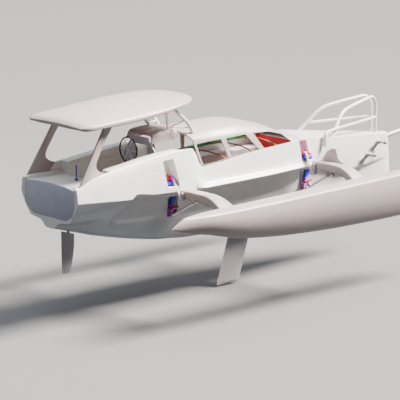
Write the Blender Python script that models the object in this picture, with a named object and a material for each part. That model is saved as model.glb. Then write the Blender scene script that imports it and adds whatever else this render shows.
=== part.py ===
"""Folding trimaran, 13.7 m: hull, cabin, hardtop, two floats on four folding beams.

Metres. +X is forward from the transom, +Y is port, +Z is up from the waterline.
The origin is on the centreline, at the transom's aft face and the waterline.
"""
import math

import bmesh
import bpy
from mathutils import Matrix, Vector

# Driving sizes
GAP = 0.0003            # between pieces that touch
SEAT_SWELL = 0.00045    # leaves at least GAP where a piece is trimmed to another
RUN = 0.008             # running clearance round what moves
WALL = 0.055            # hull and coaming shell
ROOF_WALL = 0.045       # coachroof shell
BOW_X = 13.70
STEM_RAKE = 0.13        # the stem leans forward going down to the waterline

# Hull half sections, from keel to sheer
# x, keel z, then (y, z) of bilge, canoe wall foot, wall top, flange underside, crease, side, sheer
HULL = [
    (0.00, 0.47, (0.22, 0.49), (0.34, 0.66), (0.85, 0.74), (1.20, 1.02), (1.26, 1.36), (1.24, 1.56), (1.20, 1.75)),
    (0.80, 0.22, (0.34, 0.30), (0.55, 0.55), (0.87, 0.72), (1.22, 1.00), (1.28, 1.31), (1.25, 1.65), (1.17, 2.05)),
    (1.45, 0.02, (0.40, 0.11), (0.68, 0.47), (0.90, 0.72), (1.20, 1.00), (1.29, 1.27), (1.25, 1.72), (1.13, 2.18)),
    (2.08, -0.14, (0.44, -0.02), (0.76, 0.46), (0.80, 1.02), (1.15, 1.10), (1.27, 1.20), (1.24, 1.78), (1.11, 2.27)),
    (2.90, -0.32, (0.47, -0.18), (0.78, 0.44), (0.80, 1.04), (1.18, 1.10), (1.25, 1.18), (1.22, 1.80), (1.10, 2.34)),
    (4.05, -0.52, (0.48, -0.36), (0.78, 0.30), (0.80, 1.04), (1.20, 1.10), (1.25, 1.17), (1.20, 1.75), (1.10, 2.37)),
    (4.40, -0.55, (0.48, -0.39), (0.78, 0.26), (0.80, 1.04), (1.22, 1.10), (1.27, 1.17), (1.18, 1.60), (1.09, 2.32)),
    (4.80, -0.60, (0.48, -0.44), (0.78, 0.20), (0.80, 1.03), (1.26, 1.08), (1.32, 1.15), (1.15, 1.28), (1.07, 1.70)),
    (6.90, -0.66, (0.48, -0.50), (0.76, 0.15), (0.80, 1.03), (1.24, 1.08), (1.30, 1.15), (1.13, 1.28), (1.06, 1.88)),
    (8.65, -0.64, (0.44, -0.50), (0.68, 0.15), (0.76, 1.03), (1.16, 1.10), (1.21, 1.16), (1.06, 1.30), (0.99, 1.93)),
    (9.75, -0.60, (0.38, -0.46), (0.58, 0.15), (0.64, 0.95), (0.84, 1.04), (0.90, 1.14), (0.92, 1.35), (0.91, 1.84)),
    (11.40, -0.50, (0.26, -0.36), (0.40, 0.10), (0.44, 0.50), (0.56, 0.58), (0.60, 0.66), (0.62, 1.10), (0.62, 1.64)),
    (12.60, -0.40, (0.16, -0.28), (0.24, 0.10), (0.27, 0.55), (0.33, 0.62), (0.355, 0.70), (0.37, 1.10), (0.38, 1.50)),
    (13.45, -0.30, (0.06, -0.20), (0.10, 0.10), (0.12, 0.60), (0.13, 0.66), (0.14, 0.72), (0.15, 1.10), (0.17, 1.39)),
    (13.70, -0.22, (0.015, -0.12), (0.02, 0.10), (0.025, 0.60), (0.028, 0.66), (0.03, 0.72), (0.03, 1.10), (0.035, 1.35)),
]

# The bustle ends in a raked wall: how far these stations' points stand forward of their x
BUSTLE_RAKE = {
    1.45: (0.0, 0.0, 0.0, 0.0, 0.36, 0.52, 0.15, 0.0),
    2.08: (0.0, 0.0, -0.25, -0.12, 0.0, 0.04, 0.0, 0.0),
}

# Levels inside
COCKPIT_SOLE_Z = 1.45
COCKPIT_X0, COCKPIT_X1 = 1.30, 3.44
COCKPIT_HALF = 0.72
AFT_DECK_Z = 1.70
BULKHEAD_X0, BULKHEAD_X1 = 3.36, 3.40
DOORWAY_HALF, DOORWAY_TOP_Z = 0.29, 2.42
CABIN_X0, CABIN_X1 = 3.44, 8.72
CABIN_SOLE_Z = 0.85
CABIN_TRUNK_HALF = 0.60
CABIN_LEDGE_Z = 1.22
SHELF_Z = 1.60
SHELF_INNER_Y = 0.42
SOLE_T = 0.05
CABIN_STATIONS = (CABIN_X0, 3.90, 3.98, 4.40, 4.80, 6.90, 8.65, CABIN_X1)
CABIN_WIDE_X = 3.95             # aft of here the cabin is narrowed by the strut slots
FITOUT_X0, FITOUT_X1 = 4.84, 8.60

# Coachroof half sections: x, then (y, z) of brow and shoulder, then crown z
ROOF = [
    (4.81, (0.93, 2.55), (0.70, 2.69), 2.77),
    (5.70, (0.90, 2.45), (0.70, 2.70), 2.85),
    (6.30, (0.90, 2.45), (0.70, 2.70), 2.86),
    (6.90, (0.88, 2.42), (0.68, 2.62), 2.76),
    (7.70, (0.86, 2.32), (0.66, 2.44), 2.54),
    (8.40, (0.82, 2.14), (0.60, 2.24), 2.31),
    (8.65, (0.80, 2.08), (0.555, 2.15), 2.20),
    (8.96, (0.78, 2.00), (0.50, 2.03), 2.06),
]
# The aft edge is raked: how far each of the first section's points stands aft of its sill
ROOF_RAKE = (0.0, 0.28, 0.37, 0.39)
# Side windows, outlines in x and z
WINDOWS = [
    [(4.90, 1.74), (5.87, 1.845), (5.68, 2.40), (4.70, 2.38)],
    [(5.98, 1.85), (7.11, 1.93), (6.67, 2.405), (5.87, 2.395)],
    [(7.31, 1.945), (7.86, 1.96), (8.53, 1.985), (8.20, 2.20), (7.71, 2.34), (6.98, 2.40)],
]
WINDSCREEN = [(7.98, 0.06), (8.74, 0.06), (8.70, 0.56), (8.02, 0.62)]

# Hardtop, a domed panel: x, half width, edge's underside z, edge's top z, crown z
HARDTOP = [
    (0.26, 1.02, 3.375, 3.42, 3.46), (0.36, 1.22, 3.36, 3.46, 3.52), (0.60, 1.30, 3.355, 3.48, 3.60),
    (1.40, 1.32, 3.365, 3.50, 3.74), (2.20, 1.32, 3.40, 3.53, 3.82), (3.00, 1.30, 3.47, 3.58, 3.87),
    (3.80, 1.22, 3.56, 3.65, 3.87), (4.40, 1.00, 3.62, 3.69, 3.82), (4.72, 0.70, 3.66, 3.71, 3.77),
    (4.86, 0.38, 3.68, 3.715, 3.74),
]
HARDTOP_T = 0.09

# Companionway hood: x, half width, lower edge z, top z
HOOD = [(3.30, 0.44, 2.52, 2.74), (3.44, 0.46, 2.52, 2.76), (4.20, 0.50, 2.53, 2.77), (4.36, 0.56, 2.55, 2.78)]
HOOD_WALL = 0.04

# Folding gear, port side, in y and z
LOWER_HULL_PIN = (0.88, 0.42)
LOWER_BEAM_PIN = (1.80, 0.93)
UPPER_HULL_PIN = (1.05, 1.55)
UPPER_BEAM_PIN = (1.36, 0.948)
# Each beam: name, aft edge x, chord at root, top z at root, x of the upper strut, of the lower strut
BEAMS = [
    ("aft", 3.78, 0.50, 1.20, 3.68, 3.89),
    ("forward", 9.10, 0.46, 1.31, 9.01, 9.33),
]
BEAM_ROOT_Y = 1.335
BEAM_SEAT_Y = 1.24
# Slots above the flange for the upper struts, outlines in x and z, and the inner wall's y
SLOTS = {
    "aft": ([(3.33, 1.32), (3.80, 1.32), (3.60, 2.13), (3.19, 2.11), (3.24, 1.80)], 0.86),
    "forward": ([(8.90, 1.30), (9.30, 1.30), (9.20, 1.60), (9.08, 2.10), (8.76, 2.10)], 0.80),
}
POCKET_Y, POCKET_HALF, POCKET_Z0, POCKET_Z1 = 0.70, 0.19, 0.34, 0.93

# Floats: x, half beam, deck z, keel z
FLOAT_Y = 3.32
FLOAT = [
    (2.03, 0.20, 0.97, 0.73), (3.00, 0.29, 1.00, 0.36), (4.40, 0.34, 1.01, 0.04), (6.20, 0.36, 1.03, -0.15),
    (8.40, 0.36, 1.06, -0.26), (10.40, 0.32, 1.08, -0.29), (12.00, 0.20, 1.08, -0.22), (13.10, 0.05, 1.06, -0.06),
]
FLOAT_TAIL = 0.43       # the float's tail runs this far aft below its transom

# Rudder and centreboard
RUDDER_STOCK_X = 0.66
RUDDER_STOCK_R = 0.045
RUDDER_TOP_X = (0.40, 0.87)
RUDDER_TIP = (0.42, 0.72, -0.92)
RUDDER_T = 0.10
BOARD_PIVOT = (7.69, -0.30)
BOARD_TRAIL = (7.06, -0.10, 6.35, -2.30)    # trailing edge, top x and z, tip x and z
BOARD_CHORD = 0.90
BOARD_T = 0.085
CASE_HALF = 0.056
CASE_X0, CASE_X1, CASE_TOP = 5.24, 8.14, 0.44

# Helm
HELM_HUB = (2.91, 0.0, 2.31)
HELM_R = 0.37

# Transom gate
GATE = [(0.0, 0.80), (0.70, 0.80), (0.98, 0.96), (1.09, 1.18), (1.09, 1.70), (0.60, 1.755), (0.0, 1.775)]
GATE_X0 = 0.004
GATE_T = 0.05
LOCKER_DEPTH = 0.55

# Foredeck hatch
HATCH_X0, HATCH_X1 = 10.10, 11.30
HATCH_HALF = 0.34
HATCH_WELL = 0.22

SIDES = [("port", 1), ("starboard", -1)]

COLOURS = {
    "gelcoat": ((0.86, 0.83, 0.80), 0.35, 0.0),
    "deck": ((0.84, 0.78, 0.76), 0.5, 0.0),
    "blade": ((0.45, 0.42, 0.41), 0.4, 0.0),
    "panel": ((0.40, 0.42, 0.47), 0.5, 0.0),
    "black": ((0.02, 0.02, 0.02), 0.4, 0.0),
    "steel": ((0.75, 0.74, 0.72), 0.25, 0.9),
    "red": ((0.70, 0.02, 0.02), 0.5, 0.0),
    "dark_red": ((0.20, 0.01, 0.01), 0.5, 0.0),
    "blue": ((0.02, 0.03, 0.55), 0.5, 0.0),
    "magenta": ((0.60, 0.08, 0.50), 0.5, 0.0),
    "green": ((0.03, 0.30, 0.06), 0.5, 0.0),
    "brown": ((0.32, 0.14, 0.05), 0.5, 0.0),
}


def clear_scene():
    for obj in list(bpy.data.objects):
        bpy.data.objects.remove(obj, do_unlink=True)


def collection(name):
    coll = bpy.data.collections.new(name)
    bpy.context.scene.collection.children.link(coll)
    return coll


def material(name):
    colour, rough, metal = COLOURS[name]
    mat = bpy.data.materials.get(name) or bpy.data.materials.new(name)
    mat.use_nodes = True
    bsdf = mat.node_tree.nodes["Principled BSDF"]
    bsdf.inputs["Base Color"].default_value = (*colour, 1.0)
    bsdf.inputs["Roughness"].default_value = rough
    bsdf.inputs["Metallic"].default_value = metal
    return mat


def new_object(name, bm, coll, mat=None, smooth=30):
    bmesh.ops.recalc_face_normals(bm, faces=bm.faces)
    mesh = bpy.data.meshes.new(name)
    bm.to_mesh(mesh)
    bm.free()
    obj = bpy.data.objects.new(name, mesh)
    coll.objects.link(obj)
    if mat:
        mesh.materials.append(material(mat))
        mesh.shade_smooth()
        mesh.set_sharp_from_angle(angle=math.radians(smooth))
    return obj


def loft_bm(loops):
    """Closed loops of equal count, bridged in order and capped at both ends."""
    bm = bmesh.new()
    rings = [[bm.verts.new(p) for p in loop] for loop in loops]
    count = len(rings[0])
    for ring, after in zip(rings[:-1], rings[1:]):
        for i in range(count):
            j = (i + 1) % count
            bm.faces.new((ring[i], ring[j], after[j], after[i]))
    # The booleans need flat faces, and a twisted quad isn't one
    bmesh.ops.connect_verts_nonplanar(bm, angle_limit=0.0005, faces=bm.faces[:])
    bm.faces.new(rings[0])
    bm.faces.new(rings[-1][::-1])
    return bm


def loft(name, loops, coll, mat=None, smooth=30):
    return new_object(name, loft_bm(loops), coll, mat, smooth)


def box(name, low, high, coll, mat=None):
    bm = bmesh.new()
    bmesh.ops.create_cube(bm, size=1.0)
    for vert in bm.verts:
        vert.co = Vector([low[i] if vert.co[i] < 0 else high[i] for i in range(3)])
    return new_object(name, bm, coll, mat)


def prism(name, outline, axis, low, high, coll, mat=None, smooth=30):
    """A flat outline pushed along X, Y or Z."""
    place = {
        "x": lambda a, b, c: (c, a, b),
        "y": lambda a, b, c: (a, c, b),
        "z": lambda a, b, c: (a, b, c),
    }[axis]
    loops = [[place(a, b, level) for a, b in outline] for level in (low, high)]
    return loft(name, loops, coll, mat, smooth)


def rod(name, start, end, radius, coll, mat=None, sides=12):
    start, end = Vector(start), Vector(end)
    bm = bmesh.new()
    bmesh.ops.create_cone(bm, cap_ends=True, segments=sides, radius1=radius, radius2=radius,
                          depth=(end - start).length)
    turn = (end - start).to_track_quat("Z", "Y").to_matrix().to_4x4()
    bmesh.ops.transform(bm, verts=bm.verts, matrix=Matrix.Translation((start + end) / 2) @ turn)
    return new_object(name, bm, coll, mat)


def tube(name, points, radius, coll, mat=None, cyclic=False, sides=8):
    """A bent tube through the points, as a closed mesh."""
    curve = bpy.data.curves.new(name, "CURVE")
    curve.dimensions = "3D"
    spline = curve.splines.new("POLY")
    spline.points.add(len(points) - 1)
    for place, point in zip(spline.points, points):
        place.co = (*point, 1.0)
    spline.use_cyclic_u = cyclic
    curve.bevel_depth = radius
    curve.bevel_resolution = sides // 2 - 2
    curve.use_fill_caps = not cyclic
    guide = bpy.data.objects.new(name + "_curve", curve)
    coll.objects.link(guide)
    bpy.context.view_layer.update()
    mesh = bpy.data.meshes.new_from_object(guide.evaluated_get(bpy.context.evaluated_depsgraph_get()))
    bm = bmesh.new()
    bm.from_mesh(mesh)
    bmesh.ops.remove_doubles(bm, verts=bm.verts, dist=0.00005)
    bpy.data.objects.remove(guide, do_unlink=True)
    return new_object(name, bm, coll, mat, 50)


def bend(corners, radius, steps=4):
    """Route through the corners with each inner corner rounded."""
    pts = [Vector(c) for c in corners]
    out = [pts[0]]
    for before, here, after in zip(pts[:-2], pts[1:-1], pts[2:]):
        reach = min(radius, (before - here).length * 0.45, (after - here).length * 0.45)
        enter = here + (before - here).normalized() * reach
        leave = here + (after - here).normalized() * reach
        for i in range(steps + 1):
            t = i / steps
            out.append(enter * (1 - t) ** 2 + here * 2 * t * (1 - t) + leave * t ** 2)
    out.append(pts[-1])
    return [tuple(p) for p in out]


def combine(obj, other, operation="DIFFERENCE"):
    """Boolean with the exact solver, applied at once."""
    mod = obj.modifiers.new("cut", "BOOLEAN")
    mod.operation = operation
    mod.solver = "EXACT"
    mod.object = other
    bpy.context.view_layer.update()
    mesh = bpy.data.meshes.new_from_object(obj.evaluated_get(bpy.context.evaluated_depsgraph_get()))
    obj.modifiers.clear()
    old = obj.data
    obj.data = mesh
    bpy.data.meshes.remove(old)
    return obj


def cut(obj, *cutters):
    for cutter in cutters:
        cutter.hide_render = True
        cutter.display_type = "WIRE"
        combine(obj, cutter)
    return obj


def join(obj, *others):
    for other in others:
        combine(obj, other, "UNION")
        bpy.data.objects.remove(other, do_unlink=True)
    return obj


def between(table, x, pick):
    """The value that pick reads from the table's rows, straight between its stations."""
    if x <= table[0][0]:
        return pick(table[0])
    for low, high in zip(table[:-1], table[1:]):
        if x <= high[0]:
            t = (x - low[0]) / (high[0] - low[0])
            return pick(low) * (1 - t) + pick(high) * t
    return pick(table[-1])


def sheer(x):
    return between(HULL, x, lambda row: row[-1][0]), between(HULL, x, lambda row: row[-1][1])


def stem_x(x, z):
    """Stations near the bow lean forward below the deck, as the stem does."""
    near = max(0.0, (x - 12.6) / (BOW_X - 12.6))
    return x + near * STEM_RAKE * min(1.0, max(0.0, (1.35 - z) / 1.35))


def hull_loop(row):
    x, keel = row[0], row[1]
    half = list(row[2:])
    loop = [(0.0, keel)] + half + [(-y, z) for y, z in reversed(half)]
    rake = BUSTLE_RAKE.get(x, (0.0,) * 8)
    rake += rake[:0:-1]
    return [(stem_x(x, z) + forward, y, z) for forward, (y, z) in zip(rake, loop)]


def well_loop(x, foot_half, foot_z, ledge_z, upper_half, top_z):
    half = [(foot_half, foot_z), (foot_half, ledge_z), (upper_half, ledge_z + 0.02), (upper_half, top_z)]
    loop = half + [(-y, z) for y, z in reversed(half)]
    return [(x, y, z) for y, z in loop]


def keel(x):
    return between(HULL, x, lambda row: row[1])


def trunk_half(x):
    return min(CABIN_TRUNK_HALF, between(HULL, x, lambda row: row[3][0]) - WALL)


def cabin_half(x):
    return COCKPIT_HALF + 0.06 if x < CABIN_WIDE_X else sheer(x)[0] - WALL


def make_hull(parts, cutters):
    """The canoe body, flanges, topsides and coamings, one moulding."""
    hull = loft("hull", [hull_loop(row) for row in HULL], parts, "gelcoat", 25)
    stations = [COCKPIT_X0, COCKPIT_X1 + 0.005]
    well = loft("cockpit_well", [
        well_loop(x, COCKPIT_HALF, COCKPIT_SOLE_Z - SOLE_T, 2.0, COCKPIT_HALF + 0.04, 3.0)
        for x in stations], cutters)
    aft_well = loft("aft_well", [
        well_loop(x, sheer(x)[0] - 0.15, AFT_DECK_Z, 1.8, sheer(x)[0] - WALL, 3.0)
        for x in (-0.1, 0.80, COCKPIT_X0 + 0.001)], cutters)
    rooms = loft("cabin_space", [
        well_loop(x, trunk_half(x), CABIN_SOLE_Z - SOLE_T, CABIN_LEDGE_Z, cabin_half(x), 3.0)
        for x in CABIN_STATIONS], cutters)
    cut(hull, well, aft_well, rooms)
    way = [(y + (RUN if y else 0.0), z - (RUN if z < 1.5 else -0.3)) for y, z in GATE]
    way += [(-y, z) for y, z in reversed(way[1:-1])]
    gate_way = prism("gate_way", way, "x", -0.1, GATE_X0 + GATE_T + 0.0005, cutters)
    locker = box("locker", (-0.1, -0.86, 0.98), (LOCKER_DEPTH, 0.86, 1.56), cutters)
    cut(hull, gate_way, locker)
    for name, aft_x, chord, top_z, upper_x, lower_x in BEAMS:
        outline, inner = SLOTS[name]
        for side, s in SIDES:
            # Flat seat in the flange where the beam's root lies against the hull
            seat = box(f"seat_{name}_{side}", (aft_x - 0.03, min(s * BEAM_SEAT_Y, s * 1.6), 0.6),
                       (aft_x + chord + 0.03, max(s * BEAM_SEAT_Y, s * 1.6), 1.9), cutters)
            slot = prism(f"slot_{name}_{side}", outline, "y", min(s * inner, s * 1.6), max(s * inner, s * 1.6), cutters)
            # The strut swings out through a notch in the flange
            notch = box(f"notch_{name}_{side}", (upper_x - 0.045, min(s * inner, s * 1.6), 0.86),
                        (upper_x + 0.045, max(s * inner, s * 1.6), 1.62), cutters)
            pocket = box(f"pocket_{name}_{side}", (lower_x - POCKET_HALF, min(s * POCKET_Y, s * 0.95), POCKET_Z0),
                         (lower_x + POCKET_HALF, max(s * POCKET_Y, s * 0.95), POCKET_Z1), cutters)
            cut(hull, seat, slot, notch, pocket)
    # Centreboard case, open below
    case = box("board_case", (CASE_X0, -CASE_HALF, -1.2), (CASE_X1, CASE_HALF, CASE_TOP), cutters)
    stock_hole = rod("stock_hole", (RUDDER_STOCK_X, 0, -0.2), (RUDDER_STOCK_X, 0, 0.62),
                     RUDDER_STOCK_R + RUN, cutters, sides=16)
    hatch_well = box("hatch_well", (HATCH_X0 + 0.06, -HATCH_HALF + 0.06, sheer(HATCH_X1)[1] - HATCH_WELL),
                     (HATCH_X1 - 0.06, HATCH_HALF - 0.06, 2.4), cutters)
    cut(hull, case, stock_hole, hatch_well)
    return hull


def make_roof(parts, cutters):
    """The coachroof, a moulded shell on the cabin's sills, with its windows cut."""
    loops = []
    for x, brow, shoulder, crown in ROOF:
        rake = ROOF_RAKE if x == ROOF[0][0] else (0.0, 0.0, 0.0, 0.0)
        sill_y, sill_z = sheer(x)
        sill_z += GAP
        sill_y -= 0.002
        outer = [(sill_y, sill_z), brow, shoulder, (0.0, crown)]
        inner = [(sill_y - ROOF_WALL, sill_z), (brow[0] - ROOF_WALL, brow[1] - 0.02),
                 (shoulder[0] - 0.02, shoulder[1] - ROOF_WALL), (0.0, crown - ROOF_WALL)]
        outer = [(x - back, y, z) for back, (y, z) in zip(rake, outer)]
        inner = [(x - back, y, z) for back, (y, z) in zip(rake, inner)]
        ring = outer + [(a, -y, z) for a, y, z in reversed(outer[:-1])]
        ring += [(a, -y, z) for a, y, z in inner[:-1]] + list(reversed(inner))
        loops.append(ring)
    roof = loft("cabin_roof", loops, parts, "gelcoat", 25)
    for i, outline in enumerate(WINDOWS):
        cut(roof, prism(f"window_{i + 1}", outline, "y", -1.4, 1.4, cutters))
    for side, s in SIDES:
        cut(roof, prism(f"windscreen_{side}", [(a, s * b) for a, b in WINDSCREEN], "z", 1.9, 2.9, cutters))
    return roof


def side_points(s, points):
    return [(x, s * y, z) for x, y, z in points]


def keep_largest(obj):
    """Drop the offcuts that a cut leaves loose."""
    bm = bmesh.new()
    bm.from_mesh(obj.data)
    left, shells = set(bm.verts), []
    while left:
        shell, edge = set(), [left.pop()]
        while edge:
            vert = edge.pop()
            shell.add(vert)
            for link in vert.link_edges:
                other = link.other_vert(vert)
                if other in left:
                    left.remove(other)
                    edge.append(other)
        shells.append(shell)
    shells.sort(key=lambda shell: max(v.co.z for v in shell) - min(v.co.z for v in shell))
    for shell in shells[:-1]:
        bmesh.ops.delete(bm, geom=list(shell), context="VERTS")
    bm.to_mesh(obj.data)
    bm.free()


def trim(obj, neighbour, cutters):
    """Cut a piece back to its seat on a neighbour, which is swollen by the gap between them."""
    bm = bmesh.new()
    bm.from_mesh(neighbour.data)
    bmesh.ops.remove_doubles(bm, verts=bm.verts, dist=0.00001)
    bm.normal_update()
    for vert in bm.verts:
        vert.co += vert.normal * SEAT_SWELL
    seat = new_object(f"seat_of_{obj.name}", bm, cutters)
    cut(obj, seat)
    keep_largest(obj)
    return obj


def deck_z(x, y):
    """Cambered top of the foredeck."""
    half, edge_z = sheer(x)
    share = min(1.0, abs(y) / half)
    camber = 0.090 - 0.020 * share / 0.6 if share < 0.6 else 0.070 - 0.040 * (share - 0.6) / 0.4
    return edge_z + camber


def deck_loop(x, half=None, thick=None):
    """Section of the foredeck, or of its hatch lid when a half width is given."""
    edge, edge_z = sheer(x)
    if half is None:
        ys = [edge - 0.002, 0.6 * edge, 0.0]
        low = edge_z + GAP
    else:
        ys = [half, 0.5 * half, 0.0]
        low = deck_z(x, half) - thick
    ring = [(ys[0], low)] + [(y, deck_z(x, y)) for y in ys]
    loop = [(y, z) for y, z in ring] + [(-y, z) for y, z in reversed(ring[:-1])]
    return [(x, y, z) for y, z in loop]


def make_foredeck(parts, cutters):
    stations = (ROOF[-1][0] + GAP, 9.75, 11.40, 12.60, 13.45, 13.62)
    deck = loft("foredeck", [deck_loop(x) for x in stations], parts, "deck")
    hole = box("hatch_hole", (HATCH_X0, -HATCH_HALF, 1.2), (HATCH_X1, HATCH_HALF, 2.3), cutters)
    cut(deck, hole)
    # The lid lies in the opening on the hull's rim
    lid_half = HATCH_HALF - RUN
    stations = (HATCH_X0 + RUN, HATCH_X1 - RUN)
    loft("foredeck_hatch", [deck_loop(x, lid_half, deck_z(x, lid_half) - sheer(x)[1] - 2 * GAP)
                            for x in stations], parts, "deck")
    return deck


def make_hood(parts):
    """The moulded hood over the companionway, with two raised pads and a channel between them."""
    loops = []
    for x, half, low, top in HOOD + [(ROOF[0][0] - ROOF_RAKE[-1] - GAP, 0.58, 2.56, 2.77)]:
        outer = [(half, low), (half - 0.01, top - 0.11), (half - 0.09, top), (0.07, top + 0.01), (0.05, top - 0.05),
                 (0.0, top - 0.05)]
        inner = [(half - HOOD_WALL, low), (half - HOOD_WALL - 0.02, top - 0.13), (half - 0.14, top - 0.10),
                 (0.0, top - 0.10)]
        ring = outer + [(-y, z) for y, z in reversed(outer[:-1])]
        ring += [(-y, z) for y, z in inner[:-1]] + [(y, z) for y, z in reversed(inner)]
        loops.append([(x, y, z) for y, z in ring])
    return loft("companionway_hood", loops, parts, "deck")


def make_bulkhead(parts):
    """The cabin's aft bulkhead under the hood, with its doorway, and the step inside it."""
    top_half, top_z = HOOD[0][1] - HOOD_WALL - 0.04, HOOD[0][3] - 0.104
    foot = COCKPIT_HALF - GAP
    right = [(DOORWAY_HALF, COCKPIT_SOLE_Z + GAP), (foot, COCKPIT_SOLE_Z + GAP), (foot, 2.0), (0.70, 2.18),
             (HOOD[0][1] - 0.02, HOOD[0][2] - GAP), (top_half, HOOD[0][2] - GAP), (top_half, top_z - 0.04),
             (top_half - 0.07, top_z)]
    outline = right + [(-y, z) for y, z in reversed(right)]
    outline += [(-DOORWAY_HALF, DOORWAY_TOP_Z), (DOORWAY_HALF, DOORWAY_TOP_Z)]
    prism("cabin_bulkhead", outline, "x", BULKHEAD_X0, BULKHEAD_X1, parts, "panel")
    box("companionway_step", (CABIN_X0 + GAP, -0.30, CABIN_SOLE_Z + GAP), (CABIN_X0 + 0.30, 0.30, 1.15), parts, "deck")


def make_hardtop(parts):
    """A domed panel with a rounded plan, rising towards its front."""
    loops = []
    for x, half, low, edge, crown in HARDTOP:
        rise = crown - edge
        top = [(half - 0.015, low), (half, 0.5 * (low + edge)), (half - 0.02, edge), (0.78 * half, edge + 0.48 * rise),
               (0.42 * half, edge + 0.86 * rise), (0.0, crown)]
        under = [(0.88 * half, low + 0.01), (0.45 * half, max(low, edge + 0.80 * rise - HARDTOP_T)),
                 (0.0, crown - HARDTOP_T)]
        ring = top + [(-y, z) for y, z in reversed(top[:-1])]
        ring += [(-y, z) for y, z in under[:-1]] + [(y, z) for y, z in reversed(under)]
        loops.append([(x, y, z) for y, z in ring])
    return loft("hardtop", loops, parts, "gelcoat", 40)


# The legs' outline in x and z
LEG = [(0.005, 1.60), (1.10, 3.33), (1.14, 3.46), (1.50, 3.47), (1.33, 3.22), (1.14, 3.00), (0.78, 2.42),
       (0.75, 2.28), (0.80, 2.18), (0.94, 2.10), (1.10, 2.05), (0.90, 1.80)]
LEG_T = 0.06
LEG_LEAN = 0.04         # inboard for each metre up


def make_legs(parts, cutters, hull, hardtop):
    """Raked fins from the stern quarters to the hardtop, leaning inboard as they rise."""
    for side, s in SIDES:
        loops = []
        for inset in (0.0, LEG_T):
            loops.append([(x, s * (1.192 - inset - LEG_LEAN * (z - 1.75) - 0.045 * min(x, 1.0)), z) for x, z in LEG])
        leg = loft(f"hardtop_leg_{side}", loops, parts, "gelcoat")
        trim(leg, hull, cutters)
        trim(leg, hardtop, cutters)


STANCHION_R = 0.052


def make_stanchions(parts, cutters, hardtop, hood, roof):
    """On each side a long curved bar stands on the coachroof and a short one on the hood, braced together."""
    for side, s in SIDES:
        front = tube(f"hardtop_stanchion_{side}", bend(side_points(s, [
            (3.70, 0.80, 3.66), (4.02, 0.80, 3.38), (4.42, 0.79, 3.08), (4.66, 0.74, 2.80), (4.72, 0.72, 2.60)]),
            0.25, 3), STANCHION_R, parts, "gelcoat")
        rear = tube("rear_bar", bend(side_points(s, [
            (3.72, 0.66, 3.70), (3.86, 0.58, 3.20), (4.10, 0.38, 2.74)]), 0.2, 2), 0.75 * STANCHION_R, parts)
        brace = tube("brace", side_points(s, [(4.40, 0.79, 3.10), (4.06, 0.42, 2.86)]), 0.5 * STANCHION_R, parts)
        cross = tube("cross_bar", side_points(s, [(4.04, 0.44, 2.88), (4.655, 0.745, 2.84)]), 0.45 * STANCHION_R, parts)
        join(rear, brace)
        join(front, rear, cross)
        for piece in (hardtop, hood, roof):
            trim(front, piece, cutters)


def make_soles(parts):
    low, high = COCKPIT_SOLE_Z - SOLE_T + GAP, COCKPIT_SOLE_Z
    half = COCKPIT_HALF - GAP
    box("cockpit_sole", (COCKPIT_X0 + GAP, -half, low), (COCKPIT_X1 - GAP, half, high), parts, "deck")
    loops = []
    for x in (CABIN_X0 + GAP, 4.80, 6.90, 8.65, CABIN_X1 - GAP):
        half = trunk_half(x) - GAP
        low, high = CABIN_SOLE_Z - SOLE_T + GAP, CABIN_SOLE_Z
        loops.append([(x, half, low), (x, half, high), (x, -half, high), (x, -half, low)])
    loft("cabin_sole", loops, parts, "deck")


STRINGER_T = 0.035
STRINGER_H = 0.08
BEAM_XS = (4.92, 5.96, 7.00, 8.04)


def make_cabin(parts):
    """Berth lockers, sill stringers, deck beams and the forward panel, as seen through the windows."""
    for side, s in SIDES:
        loops = []
        for x in (FITOUT_X0, 6.90, FITOUT_X1):
            outer = cabin_half(x) - GAP
            low = CABIN_LEDGE_Z + 0.02 + GAP
            loops.append([(x, s * SHELF_INNER_Y, low), (x, s * outer, low), (x, s * outer, SHELF_Z),
                          (x, s * SHELF_INNER_Y, SHELF_Z)])
        loft(f"berth_locker_{side}", loops, parts, "deck")
        loops = []
        for x in (FITOUT_X0, 6.90, FITOUT_X1):
            outer, top = cabin_half(x) - GAP, sheer(x)[1] - 0.02
            loops.append([(x, s * (outer - STRINGER_T), top - STRINGER_H), (x, s * outer, top - STRINGER_H),
                          (x, s * outer, top), (x, s * (outer - STRINGER_T), top)])
        loft(f"sill_stringer_{side}", loops, parts, "green")
    for i, x in enumerate(BEAM_XS):
        reach = cabin_half(x + 0.04) - STRINGER_T - 3 * GAP
        foot = sheer(x)[1] - 0.075
        steps = [k / 8 for k in range(-8, 9)]
        arch = [(reach * t, foot + 0.14 * (1 - t * t)) for t in steps]
        outline = arch + [(y, z - 0.035) for y, z in reversed(arch)]
        prism(f"deck_beam_{i + 1}", outline, "x", x, x + 0.04, parts, "brown")
    box("forward_panel", (CABIN_X1 - 0.04, -0.76, CABIN_LEDGE_Z + 0.021), (CABIN_X1 - GAP, 0.76, 1.92), parts,
        "dark_red")


def foil_loop(trail, lead, z_at, thick):
    """Lens section between two x values; z_at gives the height at each x."""
    chord = lead - trail
    stations = [(0.0, 0.0), (0.25, 0.75), (0.62, 1.0), (0.90, 0.62), (1.0, 0.0)]
    upper = [(trail + a * chord, 0.5 * thick * b) for a, b in stations]
    lower = [(x, -y) for x, y in reversed(upper[1:-1])]
    return [(x, y, z_at(x)) for x, y in upper + lower]


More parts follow.
